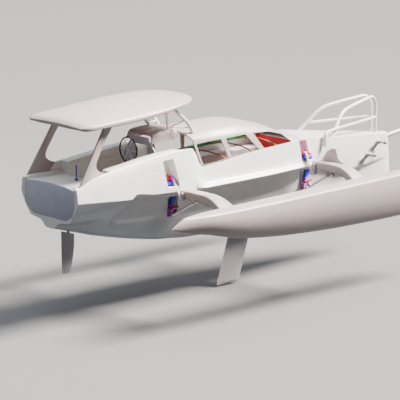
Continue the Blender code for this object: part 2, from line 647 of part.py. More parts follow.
def make_rudder(parts):
    trail, lead = RUDDER_TOP_X
    tip_trail, tip_lead, tip_z = RUDDER_TIP
    loops = [foil_loop(trail, lead, lambda x: keel(x) - 0.018, RUDDER_T),
             foil_loop(trail, lead + 0.005, lambda x: -0.10, RUDDER_T),
             foil_loop(tip_trail, tip_lead + 0.02, lambda x: tip_z + 0.10, 0.5 * RUDDER_T),
             foil_loop(tip_trail + 0.03, tip_lead - 0.04, lambda x: tip_z, 0.25 * RUDDER_T)]
    rudder = loft("rudder", loops, parts, "blade", 40)
    stock = rod("stock", (RUDDER_STOCK_X, 0, 0.05), (RUDDER_STOCK_X, 0, 0.62 - 0.0004), RUDDER_STOCK_R, parts,
                sides=16)
    return join(rudder, stock)


def make_board(parts):
    top_x, top_z, tip_x, tip_z = BOARD_TRAIL
    slope = (top_x - tip_x) / (top_z - tip_z)
    loops = []
    for z, inset in ((top_z, 0.10), (top_z - 0.12, 0.0), (-1.15, 0.0), (tip_z + 0.06, 0.0), (tip_z, 0.03)):
        trail = top_x + slope * (z - top_z)
        loops.append(foil_loop(trail + inset, trail + BOARD_CHORD - inset, lambda x, z=z: z,
                               BOARD_T * (0.6 if z == tip_z else 1.0)))
    board = loft("centreboard", loops, parts, "blade", 40)
    px, pz = BOARD_PIVOT
    reach = CASE_HALF - 0.0004
    boss = rod("boss", (px, -reach, pz), (px, reach, pz), 0.05, parts, sides=16)
    return join(board, boss)


def make_gate(parts):
    outline = [(y, z) for y, z in GATE] + [(-y, z) for y, z in reversed(GATE[1:-1])]
    return prism("transom_gate", outline, "x", GATE_X0, GATE_X0 + GATE_T, parts, "panel")


def make_helm(parts):
    hx, hy, hz = HELM_HUB
    face = hx + 0.07
    column = loft("helm_pedestal", [
        [(face, -half, z), (face + deep, -half, z), (face + deep, half, z), (face, half, z)]
        for z, half, deep in ((COCKPIT_SOLE_Z + GAP, 0.13, 0.20), (2.30, 0.09, 0.14))], parts, "deck")
    head = box("head", (face, -0.16, 2.22), (face + 0.16, 0.16, 2.40), parts)
    join(column, head)
    # Wheel in the plane across the boat
    steps = 36
    rim = tube("helm_wheel", [(hx, HELM_R * math.cos(2 * math.pi * k / steps),
                               hz + HELM_R * math.sin(2 * math.pi * k / steps)) for k in range(steps)],
               0.014, parts, "black", cyclic=True)
    hub = rod("hub", (hx - 0.03, hy, hz), (face - 0.0004, hy, hz), 0.045, parts, sides=16)
    join(rim, hub)
    for k in range(3):
        angle = math.radians(60 * k + 30)
        dy, dz = HELM_R * math.cos(angle), HELM_R * math.sin(angle)
        spoke = rod("spoke", (hx, hy - dy, hz - dz), (hx, hy + dy, hz + dz), 0.007, parts, sides=6)
        join(rim, spoke)


PULPIT_R = 0.055
PULPIT_HOOP = [(10.48, 0.73, 1.66), (11.27, 0.45, 2.50), (12.06, 0.30, 2.62), (12.97, 0.14, 2.74),
               (13.13, 0.10, 2.52), (13.14, 0.10, 1.36)]
PULPIT_RAIL = [(13.12, 0.11, 2.00), (12.00, 0.36, 2.00), (10.82, 0.61, 2.01)]
# The starboard rail runs on aft to a post outside the hull's edge
PULPIT_LONG_RAIL = [(13.12, 0.11, 2.00), (12.00, 0.38, 2.00), (10.75, 0.70, 2.02), (9.98, 0.965, 2.03),
                    (9.87, 0.99, 1.40)]


def make_pulpit(parts, cutters, deck, hull):
    """Two hoops leaning inboard, with a rail at half height."""
    for side, s in SIDES:
        hoop = tube(f"pulpit_{side}", bend(side_points(s, PULPIT_HOOP), 0.30, 4), PULPIT_R, parts, "gelcoat")
        corners = PULPIT_RAIL if side == "port" else PULPIT_LONG_RAIL
        rail = tube("mid_rail", bend(side_points(s, corners), 0.16, 3), PULPIT_R * 0.8, parts)
        join(hoop, rail)
        trim(hoop, deck, cutters)
        if side == "starboard":
            trim(hoop, hull, cutters)


def make_bowsprit(parts, cutters, hull, deck):
    rise = math.radians(7.0)
    start, reach = Vector((13.60, 0, 1.30)), 1.95
    end = start + Vector((math.cos(rise), 0, math.sin(rise))) * reach
    sprit = rod("bowsprit", start, end, 0.065, parts, "gelcoat", 16)
    trim(sprit, hull, cutters)
    trim(sprit, deck, cutters)
    return sprit


BOW_STEPS = [("lower", 12.02, 0.70), ("upper", 12.62, 1.00)]     # name, x, z
STEP_R = 0.034
STEP_REACH = 0.16


def make_bow_steps(parts, cutters, hull):
    """Two cranked brackets on the starboard bow: twin arms, a cross bar and a round pad."""
    for name, x, z in BOW_STEPS:
        y = -(between(HULL, x, lambda row: row[-2][0]))
        out = y - STEP_REACH
        arm = tube(f"bow_step_{name}", [(x, y + 0.05, z - 0.18), (x + 0.10, out, z + 0.13), (x + 0.42, out, z + 0.05)],
                   STEP_R, parts, "steel")
        other = tube("arm", [(x + 0.11, y + 0.06, z - 0.18), (x + 0.21, out, z + 0.13)], STEP_R, parts)
        bar = rod("bar", (x + 0.05, out, z + 0.13), (x + 0.26, out, z + 0.13), 1.15 * STEP_R, parts, sides=8)
        pad = rod("pad", (x + 0.39, out, z + 0.058), (x + 0.48, out, z + 0.035), 1.9 * STEP_R, parts, sides=12)
        brace = tube("brace", [(x + 0.34, out, z + 0.07), (x + 0.30, y + 0.10, z - 0.03)], 0.8 * STEP_R, parts)
        join(arm, other, bar, pad, brace)
        trim(arm, hull, cutters)


def float_loop(row):
    x, half, deck, keel_z = row
    depth = deck - keel_z
    ring = [(0.0, deck + 0.035), (0.55 * half, deck + 0.02), (0.86 * half, deck - 0.03), (half, deck - 0.32 * depth),
            (0.86 * half, deck - 0.62 * depth), (0.46 * half, deck - 0.90 * depth), (0.0, keel_z)]
    ring += [(-y, z) for y, z in reversed(ring[1:-1])]
    tail = FLOAT_TAIL if row is FLOAT[0] else 0.0
    return [(x - tail * (deck - z) / depth, y, z) for y, z in ring]


# Beam stations: |y|, drop of the top, depth, shift of the aft edge, growth of the chord
BEAM_STATIONS = [
    (BEAM_ROOT_Y, 0.00, 0.22, 0.00, 0.00), (1.80, -0.015, 0.25, 0.00, 0.00), (2.25, -0.01, 0.26, 0.00, 0.02),
    (2.52, 0.04, 0.26, -0.01, 0.06), (2.76, 0.14, 0.27, -0.03, 0.12), (2.98, 0.28, 0.27, -0.05, 0.18),
    (3.20, 0.46, 0.26, -0.06, 0.20),
]
FIN = [(1.34, 1.22), (1.42, 1.56), (1.74, 1.70), (1.82, 1.48), (1.98, 1.30), (1.98, 1.20)]
LUG_T = 0.025
EYE_HALF = 0.10
EYE_R = 0.034
UPPER_STRUT_HALF = 0.025


def beam_loop(aft_x, chord, top_z, row):
    y, drop, depth, shift, growth = row
    x0, c, top = aft_x + shift, chord + growth, top_z - drop
    ring = [(0.03, 1.0), (0.0, 0.86), (0.0, 0.18), (0.10, 0.03), (0.42, -0.02), (0.80, 0.16), (1.0, 0.55), (0.94, 0.90)]
    return [(x0 + a * c, y, top - b * depth) for a, b in ring]


def make_float_side(side, s, parts, cutters):
    hull_of_float = loft(f"float_{side}", [[(x, s * (FLOAT_Y + y), z) for x, y, z in float_loop(row)]
                                           for row in FLOAT], parts, "gelcoat", 35)
    for name, aft_x, chord, top_z, upper_x, lower_x in BEAMS:
        beam = loft(f"beam_{name}_{side}", [[(x, s * y, z) for x, y, z in beam_loop(aft_x, chord, top_z, row)]
                                            for row in BEAM_STATIONS], parts, "gelcoat", 30)
        if name == "forward":
            join(beam, prism("fin", [(s * a, b) for a, b in FIN], "x", aft_x + 0.36, aft_x + 0.42, parts))
        # Lugs either side of the lower struts' eye, and one beside the upper strut
        py, pz = LOWER_BEAM_PIN
        under = top_z - 0.16
        for x0 in (lower_x - EYE_HALF - 0.0004 - LUG_T, lower_x + EYE_HALF + 0.0004):
            outline = [(py - 0.10, under), (py - 0.05, pz - 0.03), (py, pz - 0.055), (py + 0.05, pz - 0.03),
                       (py + 0.10, under)]
            join(beam, prism("lug", [(s * a, b) for a, b in outline], "x", x0, x0 + LUG_T, parts))
        uy, uz = UPPER_BEAM_PIN
        outline = [(uy - 0.06, top_z - 0.05), (uy - 0.05, uz), (uy, uz - 0.045), (uy + 0.05, uz),
                   (uy + 0.06, top_z - 0.05)]
        join(beam, prism("ear", [(s * a, b) for a, b in outline], "x", upper_x + UPPER_STRUT_HALF + RUN, aft_x + 0.06,
                         parts))
        trim(beam, hull_of_float, cutters)


def bar_outline(start, end, half):
    """A flat bar between two pins with rounded ends, in y and z."""
    a, b = Vector(start), Vector(end)
    heading = math.atan2(b.y - a.y, b.x - a.x)
    out = []
    for centre, first in ((b, heading - math.pi / 2), (a, heading + math.pi / 2)):
        for k in range(5):
            angle = first + math.pi * k / 4
            out.append((centre.x + half * math.cos(angle), centre.y + half * math.sin(angle)))
    return out


def make_struts(side, s, parts):
    for name, aft_x, chord, top_z, upper_x, lower_x in BEAMS:
        (ay, az), (by, bz) = LOWER_HULL_PIN, LOWER_BEAM_PIN
        strut = rod(f"lower_strut_{name}_{side}", (lower_x - EYE_HALF, s * ay, az), (lower_x + EYE_HALF, s * ay, az),
                    EYE_R, parts, "steel")
        far = rod("far_eye", (lower_x - EYE_HALF, s * by, bz), (lower_x + EYE_HALF, s * by, bz), EYE_R, parts)
        legs = [rod("leg", (lower_x + dx, s * ay, az), (lower_x + dx, s * by, bz), 0.024, parts, sides=8)
                for dx in (-0.055, 0.055)]
        join(strut, far, *legs)
        outline = [(s * a, b) for a, b in bar_outline(UPPER_HULL_PIN, UPPER_BEAM_PIN, 0.038)]
        prism(f"upper_strut_{name}_{side}", outline, "x", upper_x - UPPER_STRUT_HALF, upper_x + UPPER_STRUT_HALF, parts,
              "gelcoat")


def make_brackets(side, s, parts):
    """Forked brackets on the hull, which hold the struts' inner eyes."""
    for name, aft_x, chord, top_z, upper_x, lower_x in BEAMS:
        ay, az = LOWER_HULL_PIN
        near, far = POCKET_Y + GAP, POCKET_Y + 0.035
        back = box(f"lower_bracket_{name}_{side}",
                   (lower_x - POCKET_HALF + RUN, min(s * near, s * far), POCKET_Z0 + RUN),
                   (lower_x + POCKET_HALF - RUN, max(s * near, s * far), POCKET_Z1 - RUN), parts, "magenta")
        for x0 in (lower_x - EYE_HALF - 0.0304, lower_x + EYE_HALF + 0.0004):
            outline = [(far - 0.01, az - 0.06), (ay - 0.02, az - 0.05), (ay + 0.045, az), (ay - 0.02, az + 0.05),
                       (far - 0.01, az + 0.20)]
            join(back, prism("cheek", [(s * a, b) for a, b in outline], "x", x0, x0 + 0.03, parts))
        ay, az = UPPER_HULL_PIN
        inner = SLOTS[name][1]
        near, far = inner + GAP, inner + 0.03
        back = box(f"upper_bracket_{name}_{side}", (upper_x - 0.10, min(s * near, s * far), az - 0.19),
                   (upper_x + 0.05, max(s * near, s * far), az + 0.03), parts, "red")
        for x0 in (upper_x - UPPER_STRUT_HALF - 0.0204, upper_x + UPPER_STRUT_HALF + 0.0004):
            outline = [(far - 0.01, az - 0.15), (ay + 0.03, az - 0.03), (ay + 0.03, az + 0.02),
                       (far - 0.01, az + 0.025)]
            join(back, prism("cheek", [(s * a, b) for a, b in outline], "x", x0, x0 + 0.02, parts))


def make_aft_post(parts):
    """The slim post on the aft deck."""
    x = 0.98
    post = rod("aft_deck_post", (x, 0, AFT_DECK_Z + GAP), (x, 0, 2.14), 0.018, parts, "blue", 10)
    foot = rod("foot", (x, 0, AFT_DECK_Z + GAP), (x, 0, AFT_DECK_Z + 0.04), 0.05, parts, sides=12)
    join(post, foot)


def main():
    clear_scene()
    parts = collection("folding_trimaran")
    cutters = collection("cutters")
    hull = make_hull(parts, cutters)
    roof = make_roof(parts, cutters)
    deck = make_foredeck(parts, cutters)
    hood = make_hood(parts)
    make_bulkhead(parts)
    hardtop = make_hardtop(parts)
    make_legs(parts, cutters, hull, hardtop)
    make_stanchions(parts, cutters, hardtop, hood, roof)
    make_soles(parts)
    make_cabin(parts)
    make_rudder(parts)
    make_board(parts)
    make_gate(parts)
    make_helm(parts)
    make_aft_post(parts)
    make_pulpit(parts, cutters, deck, hull)
    make_bowsprit(parts, cutters, hull, deck)
    make_bow_steps(parts, cutters, hull)
    for side, s in SIDES:
        make_float_side(side, s, parts, cutters)
        make_struts(side, s, parts)
        make_brackets(side, s, parts)


main()
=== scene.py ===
"""Folding trimaran: the dressed model. Metres, +X to the bow, +Y to port, +Z up from the waterline."""
import math
from bisect import bisect_right

import bmesh
import bpy
from mathutils import Matrix, Vector


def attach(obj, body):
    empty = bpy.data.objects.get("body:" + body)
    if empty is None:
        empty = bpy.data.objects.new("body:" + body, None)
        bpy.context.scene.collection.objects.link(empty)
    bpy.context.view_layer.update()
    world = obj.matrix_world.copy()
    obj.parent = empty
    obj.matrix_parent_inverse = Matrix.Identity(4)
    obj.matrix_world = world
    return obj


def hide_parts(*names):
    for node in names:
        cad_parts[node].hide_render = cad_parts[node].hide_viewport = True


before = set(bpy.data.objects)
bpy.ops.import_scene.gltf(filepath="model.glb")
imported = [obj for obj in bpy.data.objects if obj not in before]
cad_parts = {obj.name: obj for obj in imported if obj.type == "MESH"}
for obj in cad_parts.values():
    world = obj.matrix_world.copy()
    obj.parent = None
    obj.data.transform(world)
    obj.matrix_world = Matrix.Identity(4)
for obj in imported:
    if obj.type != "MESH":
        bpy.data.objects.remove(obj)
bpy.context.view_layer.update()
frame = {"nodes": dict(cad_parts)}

deck_plan = bpy.context.scene.collection

# Camera, floor and studio light
# The photograph is taken from the starboard quarter with a long lens.
# The floor lies just under the tip of the centreboard.
AZIMUTH, ELEVATION = math.radians(-42.5), math.radians(12.6)
backward = Vector((math.sin(AZIMUTH) * math.cos(ELEVATION), -math.cos(AZIMUTH) * math.cos(ELEVATION),
                   math.sin(ELEVATION)))
rightward = Vector((math.cos(AZIMUTH), math.sin(AZIMUTH), 0.0))
upward = backward.cross(rightward)
camera = bpy.data.objects.new("camera", bpy.data.cameras.new("camera"))
camera.data.lens, camera.data.sensor_width = 216.0, 36.0
camera.data.clip_end = 3000.0
CAMERA_AT = (-40.963, -50.908, 15.856)
turned = Matrix((rightward, upward, backward)).transposed().to_4x4()
camera.matrix_world = Matrix.Translation(CAMERA_AT) @ turned
deck_plan.objects.link(camera)
bpy.context.scene.camera = camera

FLOOR_Z, REACH = -2.36, 1500
floor_mesh = bpy.data.meshes.new("studio_floor")
floor_mesh.from_pydata([(-REACH, -REACH, FLOOR_Z), (REACH, -REACH, FLOOR_Z), (REACH, REACH, FLOOR_Z),
                        (-REACH, REACH, FLOOR_Z)], [], [(0, 1, 2, 3)])
studio_floor = bpy.data.objects.new("studio_floor", floor_mesh)
deck_plan.objects.link(studio_floor)
paper = bpy.data.materials.new("studio_paper")
paper.use_nodes = True
paper_shader = paper.node_tree.nodes["Principled BSDF"]
paper_shader.inputs["Base Color"].default_value = (0.150, 0.140, 0.135, 1)
paper_shader.inputs["Roughness"].default_value = 0.9
floor_mesh.materials.append(paper)
studio_floor.visible_diffuse = False        # so the pale floor doesn't light the hull's shaded side

# A strong key from off the starboard bow, a wide cool softbox overhead and a dim sky
key = bpy.data.objects.new("key", bpy.data.lights.new("key", "SUN"))
key.data.energy, key.data.angle, key.data.color = 25.0, math.radians(20), (1.0, 0.955, 0.91)
key.rotation_euler = Vector((0.93, -0.52, 1.22)).to_track_quat("Z", "Y").to_euler()
deck_plan.objects.link(key)
sky = bpy.context.scene.world or bpy.data.worlds.new("sky")
bpy.context.scene.world = sky
sky.use_nodes = True
sky_shader = sky.node_tree.nodes["Background"]
sky_shader.inputs["Color"].default_value = (0.66, 0.80, 1.0, 1)
sky_shader.inputs["Strength"].default_value = 0.17
softbox = bpy.data.objects.new("softbox", bpy.data.lights.new("softbox", "AREA"))
softbox.data.energy, softbox.data.size, softbox.data.color = 18000.0, 40.0, (0.82, 0.90, 1.0)
softbox.location = (7.0, 6.0, 26.0)
deck_plan.objects.link(softbox)


# Hull
# One moulding of glass and foam with a gelcoat skin: canoe body, flanges, topsides and coamings.
# It is laid up in a mould, so its surfaces are fair curves and its corners are radiused.

# Each row: x, keel z, then y and z of bilge, wall foot, wall top, flange underside, crease, side, sheer
HULL = [
    (0.00, 0.47, 0.22, 0.49, 0.34, 0.66, 0.85, 0.74, 1.09, 1.04, 1.26, 1.36, 1.23, 1.60, 1.20, 1.75),
    (0.80, 0.22, 0.34, 0.30, 0.55, 0.55, 0.87, 0.72, 1.11, 1.00, 1.28, 1.295, 1.235, 1.78, 1.17, 2.00),
    (1.45, 0.02, 0.40, 0.11, 0.68, 0.47, 0.90, 0.72, 1.11, 0.99, 1.28, 1.21, 1.20, 1.93, 1.13, 2.09),
    (2.08, -0.14, 0.44, -0.02, 0.76, 0.46, 0.80, 1.02, 1.16, 1.20, 1.27, 1.32, 1.18, 2.02, 1.11, 2.16),
    (2.90, -0.32, 0.47, -0.18, 0.78, 0.44, 0.80, 1.04, 1.18, 1.13, 1.25, 1.21, 1.17, 2.06, 1.10, 2.255),
    (4.05, -0.52, 0.48, -0.36, 0.78, 0.30, 0.80, 1.04, 1.20, 1.10, 1.25, 1.17, 1.20, 1.75, 1.10, 2.315),
    (4.40, -0.55, 0.48, -0.39, 0.78, 0.26, 0.80, 1.04, 1.22, 1.10, 1.27, 1.17, 1.18, 1.60, 1.09, 2.30),
    (4.80, -0.60, 0.48, -0.44, 0.78, 0.20, 0.80, 1.03, 1.26, 1.08, 1.32, 1.15, 1.15, 1.28, 1.07, 1.70),
    (6.90, -0.66, 0.48, -0.50, 0.76, 0.15, 0.80, 1.03, 1.24, 1.08, 1.30, 1.15, 1.13, 1.28, 1.06, 1.88),
    (8.65, -0.64, 0.44, -0.50, 0.68, 0.15, 0.76, 1.03, 1.16, 1.10, 1.21, 1.16, 1.06, 1.30, 0.99, 1.93),
    (9.75, -0.60, 0.38, -0.46, 0.58, 0.15, 0.64, 0.95, 0.84, 1.04, 0.90, 1.14, 0.92, 1.35, 0.91, 1.84),
    (11.40, -0.50, 0.26, -0.36, 0.40, 0.10, 0.44, 0.50, 0.56, 0.58, 0.60, 0.66, 0.62, 1.10, 0.62, 1.64),
    (12.60, -0.40, 0.16, -0.28, 0.24, 0.10, 0.27, 0.55, 0.33, 0.62, 0.355, 0.70, 0.37, 1.10, 0.38, 1.50),
    (13.45, -0.30, 0.06, -0.20, 0.10, 0.10, 0.12, 0.60, 0.13, 0.66, 0.14, 0.72, 0.15, 1.10, 0.17, 1.39),
    (13.70, -0.22, 0.015, -0.12, 0.02, 0.10, 0.025, 0.60, 0.028, 0.66, 0.03, 0.72, 0.03, 1.10, 0.035, 1.35),
]
BOW_X, STEM_RAKE, STEM_START_X, STEM_TOP_Z, WALL = 13.70, 0.13, 12.60, 1.35, 0.055
CORNER_R = (0.20, 0.14, 0.14, 0.04, 0.03, 0.02, 0.16, 0.02)   # keel, then each column's corner
LEVEL = (0.0,) * 8
BUSTLE_X0, BUSTLE_X1 = 1.45, 2.08
RAKE = [(0.80, LEVEL), (BUSTLE_X0, (0.0, 0.0, 0.0, 0.0, 0.36, 0.52, 0.15, 0.0)),
        (BUSTLE_X1, (0.0, 0.0, -0.25, -0.12, 0.0, 0.04, 0.0, 0.0)), (2.90, LEVEL)]
SIDES = [("port", 1), ("starboard", -1)]


def fair(table):
    """A smooth curve through each column of a table against its first, with no overshoot."""
    xs = [row[0] for row in table]
    gaps = [b - a for a, b in zip(xs, xs[1:])]
    columns, slopes = list(zip(*[row[1:] for row in table])), []
    for column in columns:
        rise = [(b - a) / g for a, b, g in zip(column, column[1:], gaps)]
        slope = [rise[0]]
        for i in range(1, len(rise)):
            if rise[i - 1] * rise[i] <= 0:
                slope.append(0.0)
            else:
                w1, w2 = 2 * gaps[i] + gaps[i - 1], gaps[i] + 2 * gaps[i - 1]
                slope.append((w1 + w2) / (w1 / rise[i - 1] + w2 / rise[i]))
        slopes.append(slope + [rise[-1]])

    def at(x):
        x = min(max(x, xs[0]), xs[-1])
        i = min(bisect_right(xs, x) - 1, len(gaps) - 1)
        t, g = (x - xs[i]) / gaps[i], gaps[i]
        blend = ((1 + 2 * t) * (1 - t) ** 2, t * (1 - t) ** 2 * g, t * t * (3 - 2 * t), t * t * (t - 1) * g)
        return [blend[0] * c[i] + blend[1] * s[i] + blend[2] * c[i + 1] + blend[3] * s[i + 1]
                for c, s in zip(columns, slopes)]
    return at


def stations(table, step):
    """The table's own x values with even steps between them."""
    out = []
    for a, b in zip(table, table[1:]):
        count = max(1, round((b[0] - a[0]) / step))
        out += [a[0] + (b[0] - a[0]) * k / count for k in range(count)]
    return out + [table[-1][0]]


def ease(ring, radii, steps=4):
    """Round each corner of a closed ring; the count of points doesn't depend on the shape."""
    out, n = [], len(ring)
    pts = [Vector(p) for p in ring]
    for i, (here, radius) in enumerate(zip(pts, radii)):
        to_last, to_next = pts[i - 1] - here, pts[(i + 1) % n] - here
        enter = here + to_last.normalized() * min(radius, 0.45 * to_last.length)
        leave = here + to_next.normalized() * min(radius, 0.45 * to_next.length)
        for k in range(steps + 1):
            t = k / steps
            out.append(enter * (1 - t) ** 2 + here * 2 * t * (1 - t) + leave * t * t)
    return out


def mould(name, bm, finish, sharp=32):
    """A shaded piece from its faces, turned outward."""
    bmesh.ops.recalc_face_normals(bm, faces=bm.faces)
    mesh = bpy.data.meshes.new(name)
    bm.to_mesh(mesh)
    bm.free()
    mesh.materials.append(finish)
    mesh.shade_smooth()
    mesh.set_sharp_from_angle(angle=math.radians(sharp))
    obj = bpy.data.objects.new(name, mesh)
    deck_plan.objects.link(obj)
    return obj


def skin(name, rings, finish, sharp=32):
    """Closed rings of equal count, bridged in order and closed at both ends."""
    bm = bmesh.new()
    rows = [[bm.verts.new(p) for p in ring] for ring in rings]
    n = len(rows[0])
    for low, high in zip(rows, rows[1:]):
        for i in range(n):
            bm.faces.new((low[i], low[(i + 1) % n], high[(i + 1) % n], high[i]))
    bmesh.ops.connect_verts_nonplanar(bm, angle_limit=0.0005, faces=bm.faces[:])
    bm.faces.new(rows[0])
    bm.faces.new(rows[-1][::-1])
    return mould(name, bm, finish, sharp)


def plate(name, outline, axis, low, high, finish, radius=0.0, edge=0.0, sharp=32):
    """A flat outline given thickness along x, y or z, its corners and then its edges rounded."""
    ring = ease([(a, b, 0) for a, b in outline], [radius] * len(outline)) if radius else \
        [Vector((a, b, 0)) for a, b in outline]
    put = {"x": lambda p, c: (c, p.x, p.y), "y": lambda p, c: (p.x, c, p.y), "z": lambda p, c: (p.x, p.y, c)}
    obj = skin(name, [[put[axis](p, level) for p in ring] for level in (low, high)], finish, sharp)
    return soften(obj, edge) if edge else obj


def settle(obj):
    """Modifiers applied to a plain mesh."""
    bpy.context.view_layer.update()
    done = bpy.data.meshes.new_from_object(obj.evaluated_get(bpy.context.evaluated_depsgraph_get()))
    obj.modifiers.clear()
    obj.data = done
    return obj


def soften(obj, width):
    """Round a piece's sharp edges."""
    edge = obj.modifiers.new("edge", "BEVEL")
    edge.width, edge.segments = width, 2
    edge.limit_method, edge.angle_limit = "ANGLE", math.radians(40)
    edge.harden_normals = False
    settle(obj)
    obj.data.shade_smooth()
    obj.data.set_sharp_from_angle(angle=math.radians(35))
    return obj


def carve(obj, *tools, sharp=32):
    """Cut the tools out of a piece and put them away."""
    for tool in tools:
        cut = obj.modifiers.new("cut", "BOOLEAN")
        cut.operation, cut.solver, cut.object = "DIFFERENCE", "EXACT", tool
        settle(obj)
        bpy.data.objects.remove(tool, do_unlink=True)
    obj.data.shade_smooth()
    obj.data.set_sharp_from_angle(angle=math.radians(sharp))
    return obj


def block(name, low, high, finish):
    outline = [(low[0], low[1]), (high[0], low[1]), (high[0], high[1]), (low[0], high[1])]
    return plate(name, outline, "z", low[2], high[2], finish)


def between(s, a, b):
    """Two distances from the centreline as low and high y, on the side of s."""
    return min(s * a, s * b), max(s * a, s * b)


def coat(name, light, dark, rough, size=3.0, grain=220.0, bump=0.02, metal=0.0, gloss=0.0, distance=0.002):
    """A finish whose colour and roughness drift over the piece, with a fine surface grain."""
    mat = bpy.data.materials.new(name)
    mat.use_nodes = True
    nodes, links = mat.node_tree.nodes, mat.node_tree.links
    shader = nodes["Principled BSDF"]
    where = nodes.new("ShaderNodeTexCoord")
    drift = nodes.new("ShaderNodeTexNoise")
    drift.inputs["Scale"].default_value, drift.inputs["Detail"].default_value = size, 5.0
    links.new(where.outputs["Object"], drift.inputs["Vector"])
    tint = nodes.new("ShaderNodeValToRGB")
    tint.color_ramp.elements[0].position, tint.color_ramp.elements[0].color = 0.32, (*dark, 1)
    tint.color_ramp.elements[1].position, tint.color_ramp.elements[1].color = 0.68, (*light, 1)
    links.new(drift.outputs["Fac"], tint.inputs["Fac"])
    links.new(tint.outputs["Color"], shader.inputs["Base Color"])
    sheen = nodes.new("ShaderNodeMapRange")
    sheen.inputs["To Min"].default_value, sheen.inputs["To Max"].default_value = rough
    links.new(drift.outputs["Fac"], sheen.inputs["Value"])
    links.new(sheen.outputs["Result"], shader.inputs["Roughness"])
    fine = nodes.new("ShaderNodeTexNoise")
    fine.inputs["Scale"].default_value, fine.inputs["Detail"].default_value = grain, 3.0
    links.new(where.outputs["Object"], fine.inputs["Vector"])
    relief = nodes.new("ShaderNodeBump")
    relief.inputs["Strength"].default_value, relief.inputs["Distance"].default_value = bump, distance
    links.new(fine.outputs["Fac"], relief.inputs["Height"])
    links.new(relief.outputs["Normal"], shader.inputs["Normal"])
    shader.inputs["Metallic"].default_value = metal
    shader.inputs["Coat Weight"].default_value = gloss
    shader.inputs["Coat Roughness"].default_value = 0.12
    return mat


def stand_for(piece, node, body):
    """The piece takes a CAD node's place and moves with its body."""
    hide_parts(node)
    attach(piece, body)
    return piece


gelcoat = coat("cream_gelcoat", (0.84, 0.81, 0.75), (0.80, 0.77, 0.71), (0.30, 0.42), gloss=0.25)
lines_at = fair(HULL)
trunk_at = fair([(row[0], row[4]) for row in HULL])


def sheer(x):
    row = lines_at(x)
    return row[13], row[14]


def rake_at(x):
    """How far each of a station's points stands forward of its x, round the bustle's end."""
    for (x0, low), (x1, high) in zip(RAKE, RAKE[1:]):
        if x0 <= x <= x1:
            t = (x - x0) / (x1 - x0)
            return [a * (1 - t) + b * t for a, b in zip(low, high)]
    return LEVEL


def stem_x(x, z):
    """The stem leans forward to its foot."""
    near = max(0.0, (x - STEM_START_X) / (BOW_X - STEM_START_X))
    return x + near * STEM_RAKE * min(1.0, max(0.0, (STEM_TOP_Z - z) / STEM_TOP_Z))


def hull_ring(x):
    row = lines_at(x)
    if BUSTLE_X0 < x < BUSTLE_X1:         # the bustle's raked end is ruled, not faired
        t = (x - BUSTLE_X0) / (BUSTLE_X1 - BUSTLE_X0)
        row = [a * (1 - t) + b * t for a, b in zip(HULL[2][1:], HULL[3][1:])]
    rake = rake_at(x)
    half = [(rake[i // 2 + 1], row[i], row[i + 1]) for i in range(1, 15, 2)]
    ring = [(rake[0], 0.0, row[0])] + half + [(f, -y, z) for f, y, z in reversed(half)]
    radii = list(CORNER_R) + list(reversed(CORNER_R[1:]))
    narrow = min(1.0, row[3] / 0.3)         # tighter corners where the hull is slim
    return [(stem_x(x, p.z) + p.x, p.y, p.z) for p in ease(ring, [r * narrow for r in radii])]


def well_ring(x, foot_half, foot_z, ledge_z, upper_half, top_z):
    half = [(foot_half, foot_z), (foot_half, ledge_z), (upper_half, ledge_z + 0.02), (upper_half, top_z)]
    return [(x, y, z) for y, z in half] + [(x, -y, z) for y, z in reversed(half)]


COCKPIT_X0, COCKPIT_X1, COCKPIT_HALF, AFT_DECK_Z = 1.30, 3.44, 0.72, 1.70
CABIN_X1, CABIN_LEDGE_Z, CABIN_WIDE_X = 8.72, 1.22, 3.95
GATE = [(0.0, 0.80), (0.70, 0.80), (0.98, 0.96), (1.09, 1.18), (1.09, 1.70), (0.60, 1.755), (0.0, 1.775)]
# Each beam: name, aft edge x, chord, top z at the root, x of the upper strut, x of the lower strut
BEAMS = [("aft", 3.78, 0.50, 1.20, 3.68, 3.89), ("forward", 9.10, 0.46, 1.31, 9.01, 9.33)]
# Slots for the upper struts: outline in x and z, and the inner wall's y
SLOTS = {
    "aft": ([(3.33, 1.32), (3.80, 1.32), (3.60, 2.13), (3.19, 2.11), (3.24, 1.80)], 0.86),
    "forward": ([(8.90, 1.30), (9.30, 1.30), (9.20, 1.60), (9.08, 2.10), (8.76, 2.10)], 0.80),
}


def cabin_half(x):
    return COCKPIT_HALF + 0.06 if x < CABIN_WIDE_X else sheer(x)[0] - WALL


def trunk_half(x):
    return min(0.60, trunk_at(x)[0] - WALL)


hull = skin("hull_moulding", [hull_ring(x) for x in stations(HULL, 0.12)], gelcoat, 18)
OPEN_Z = 3.0         # above every coaming, so the wells are open to the sky
well = skin("well", [well_ring(x, COCKPIT_HALF, 1.40, 2.0, COCKPIT_HALF + 0.04, OPEN_Z)
                     for x in (COCKPIT_X0, COCKPIT_X1 + 0.005)], gelcoat)
AFT_X = (-0.1, 0.0, 0.2, 0.4, 0.6, 0.8, 1.05, COCKPIT_X0 + 0.001)
aft_well = skin("aft_well", [well_ring(x, sheer(x)[0] - 0.15, AFT_DECK_Z, 1.8, sheer(x)[0] - WALL, OPEN_Z)
                             for x in AFT_X], gelcoat)
ROOMS_X = (COCKPIT_X1, 3.90, 3.98, 4.20, 4.40, 4.60, 4.80, 5.6, 6.4, 6.90, 7.5, 8.1, 8.65, CABIN_X1)
rooms = skin("rooms", [well_ring(x, trunk_half(x), 0.80, CABIN_LEDGE_Z, cabin_half(x), OPEN_Z) for x in ROOMS_X],
             gelcoat)
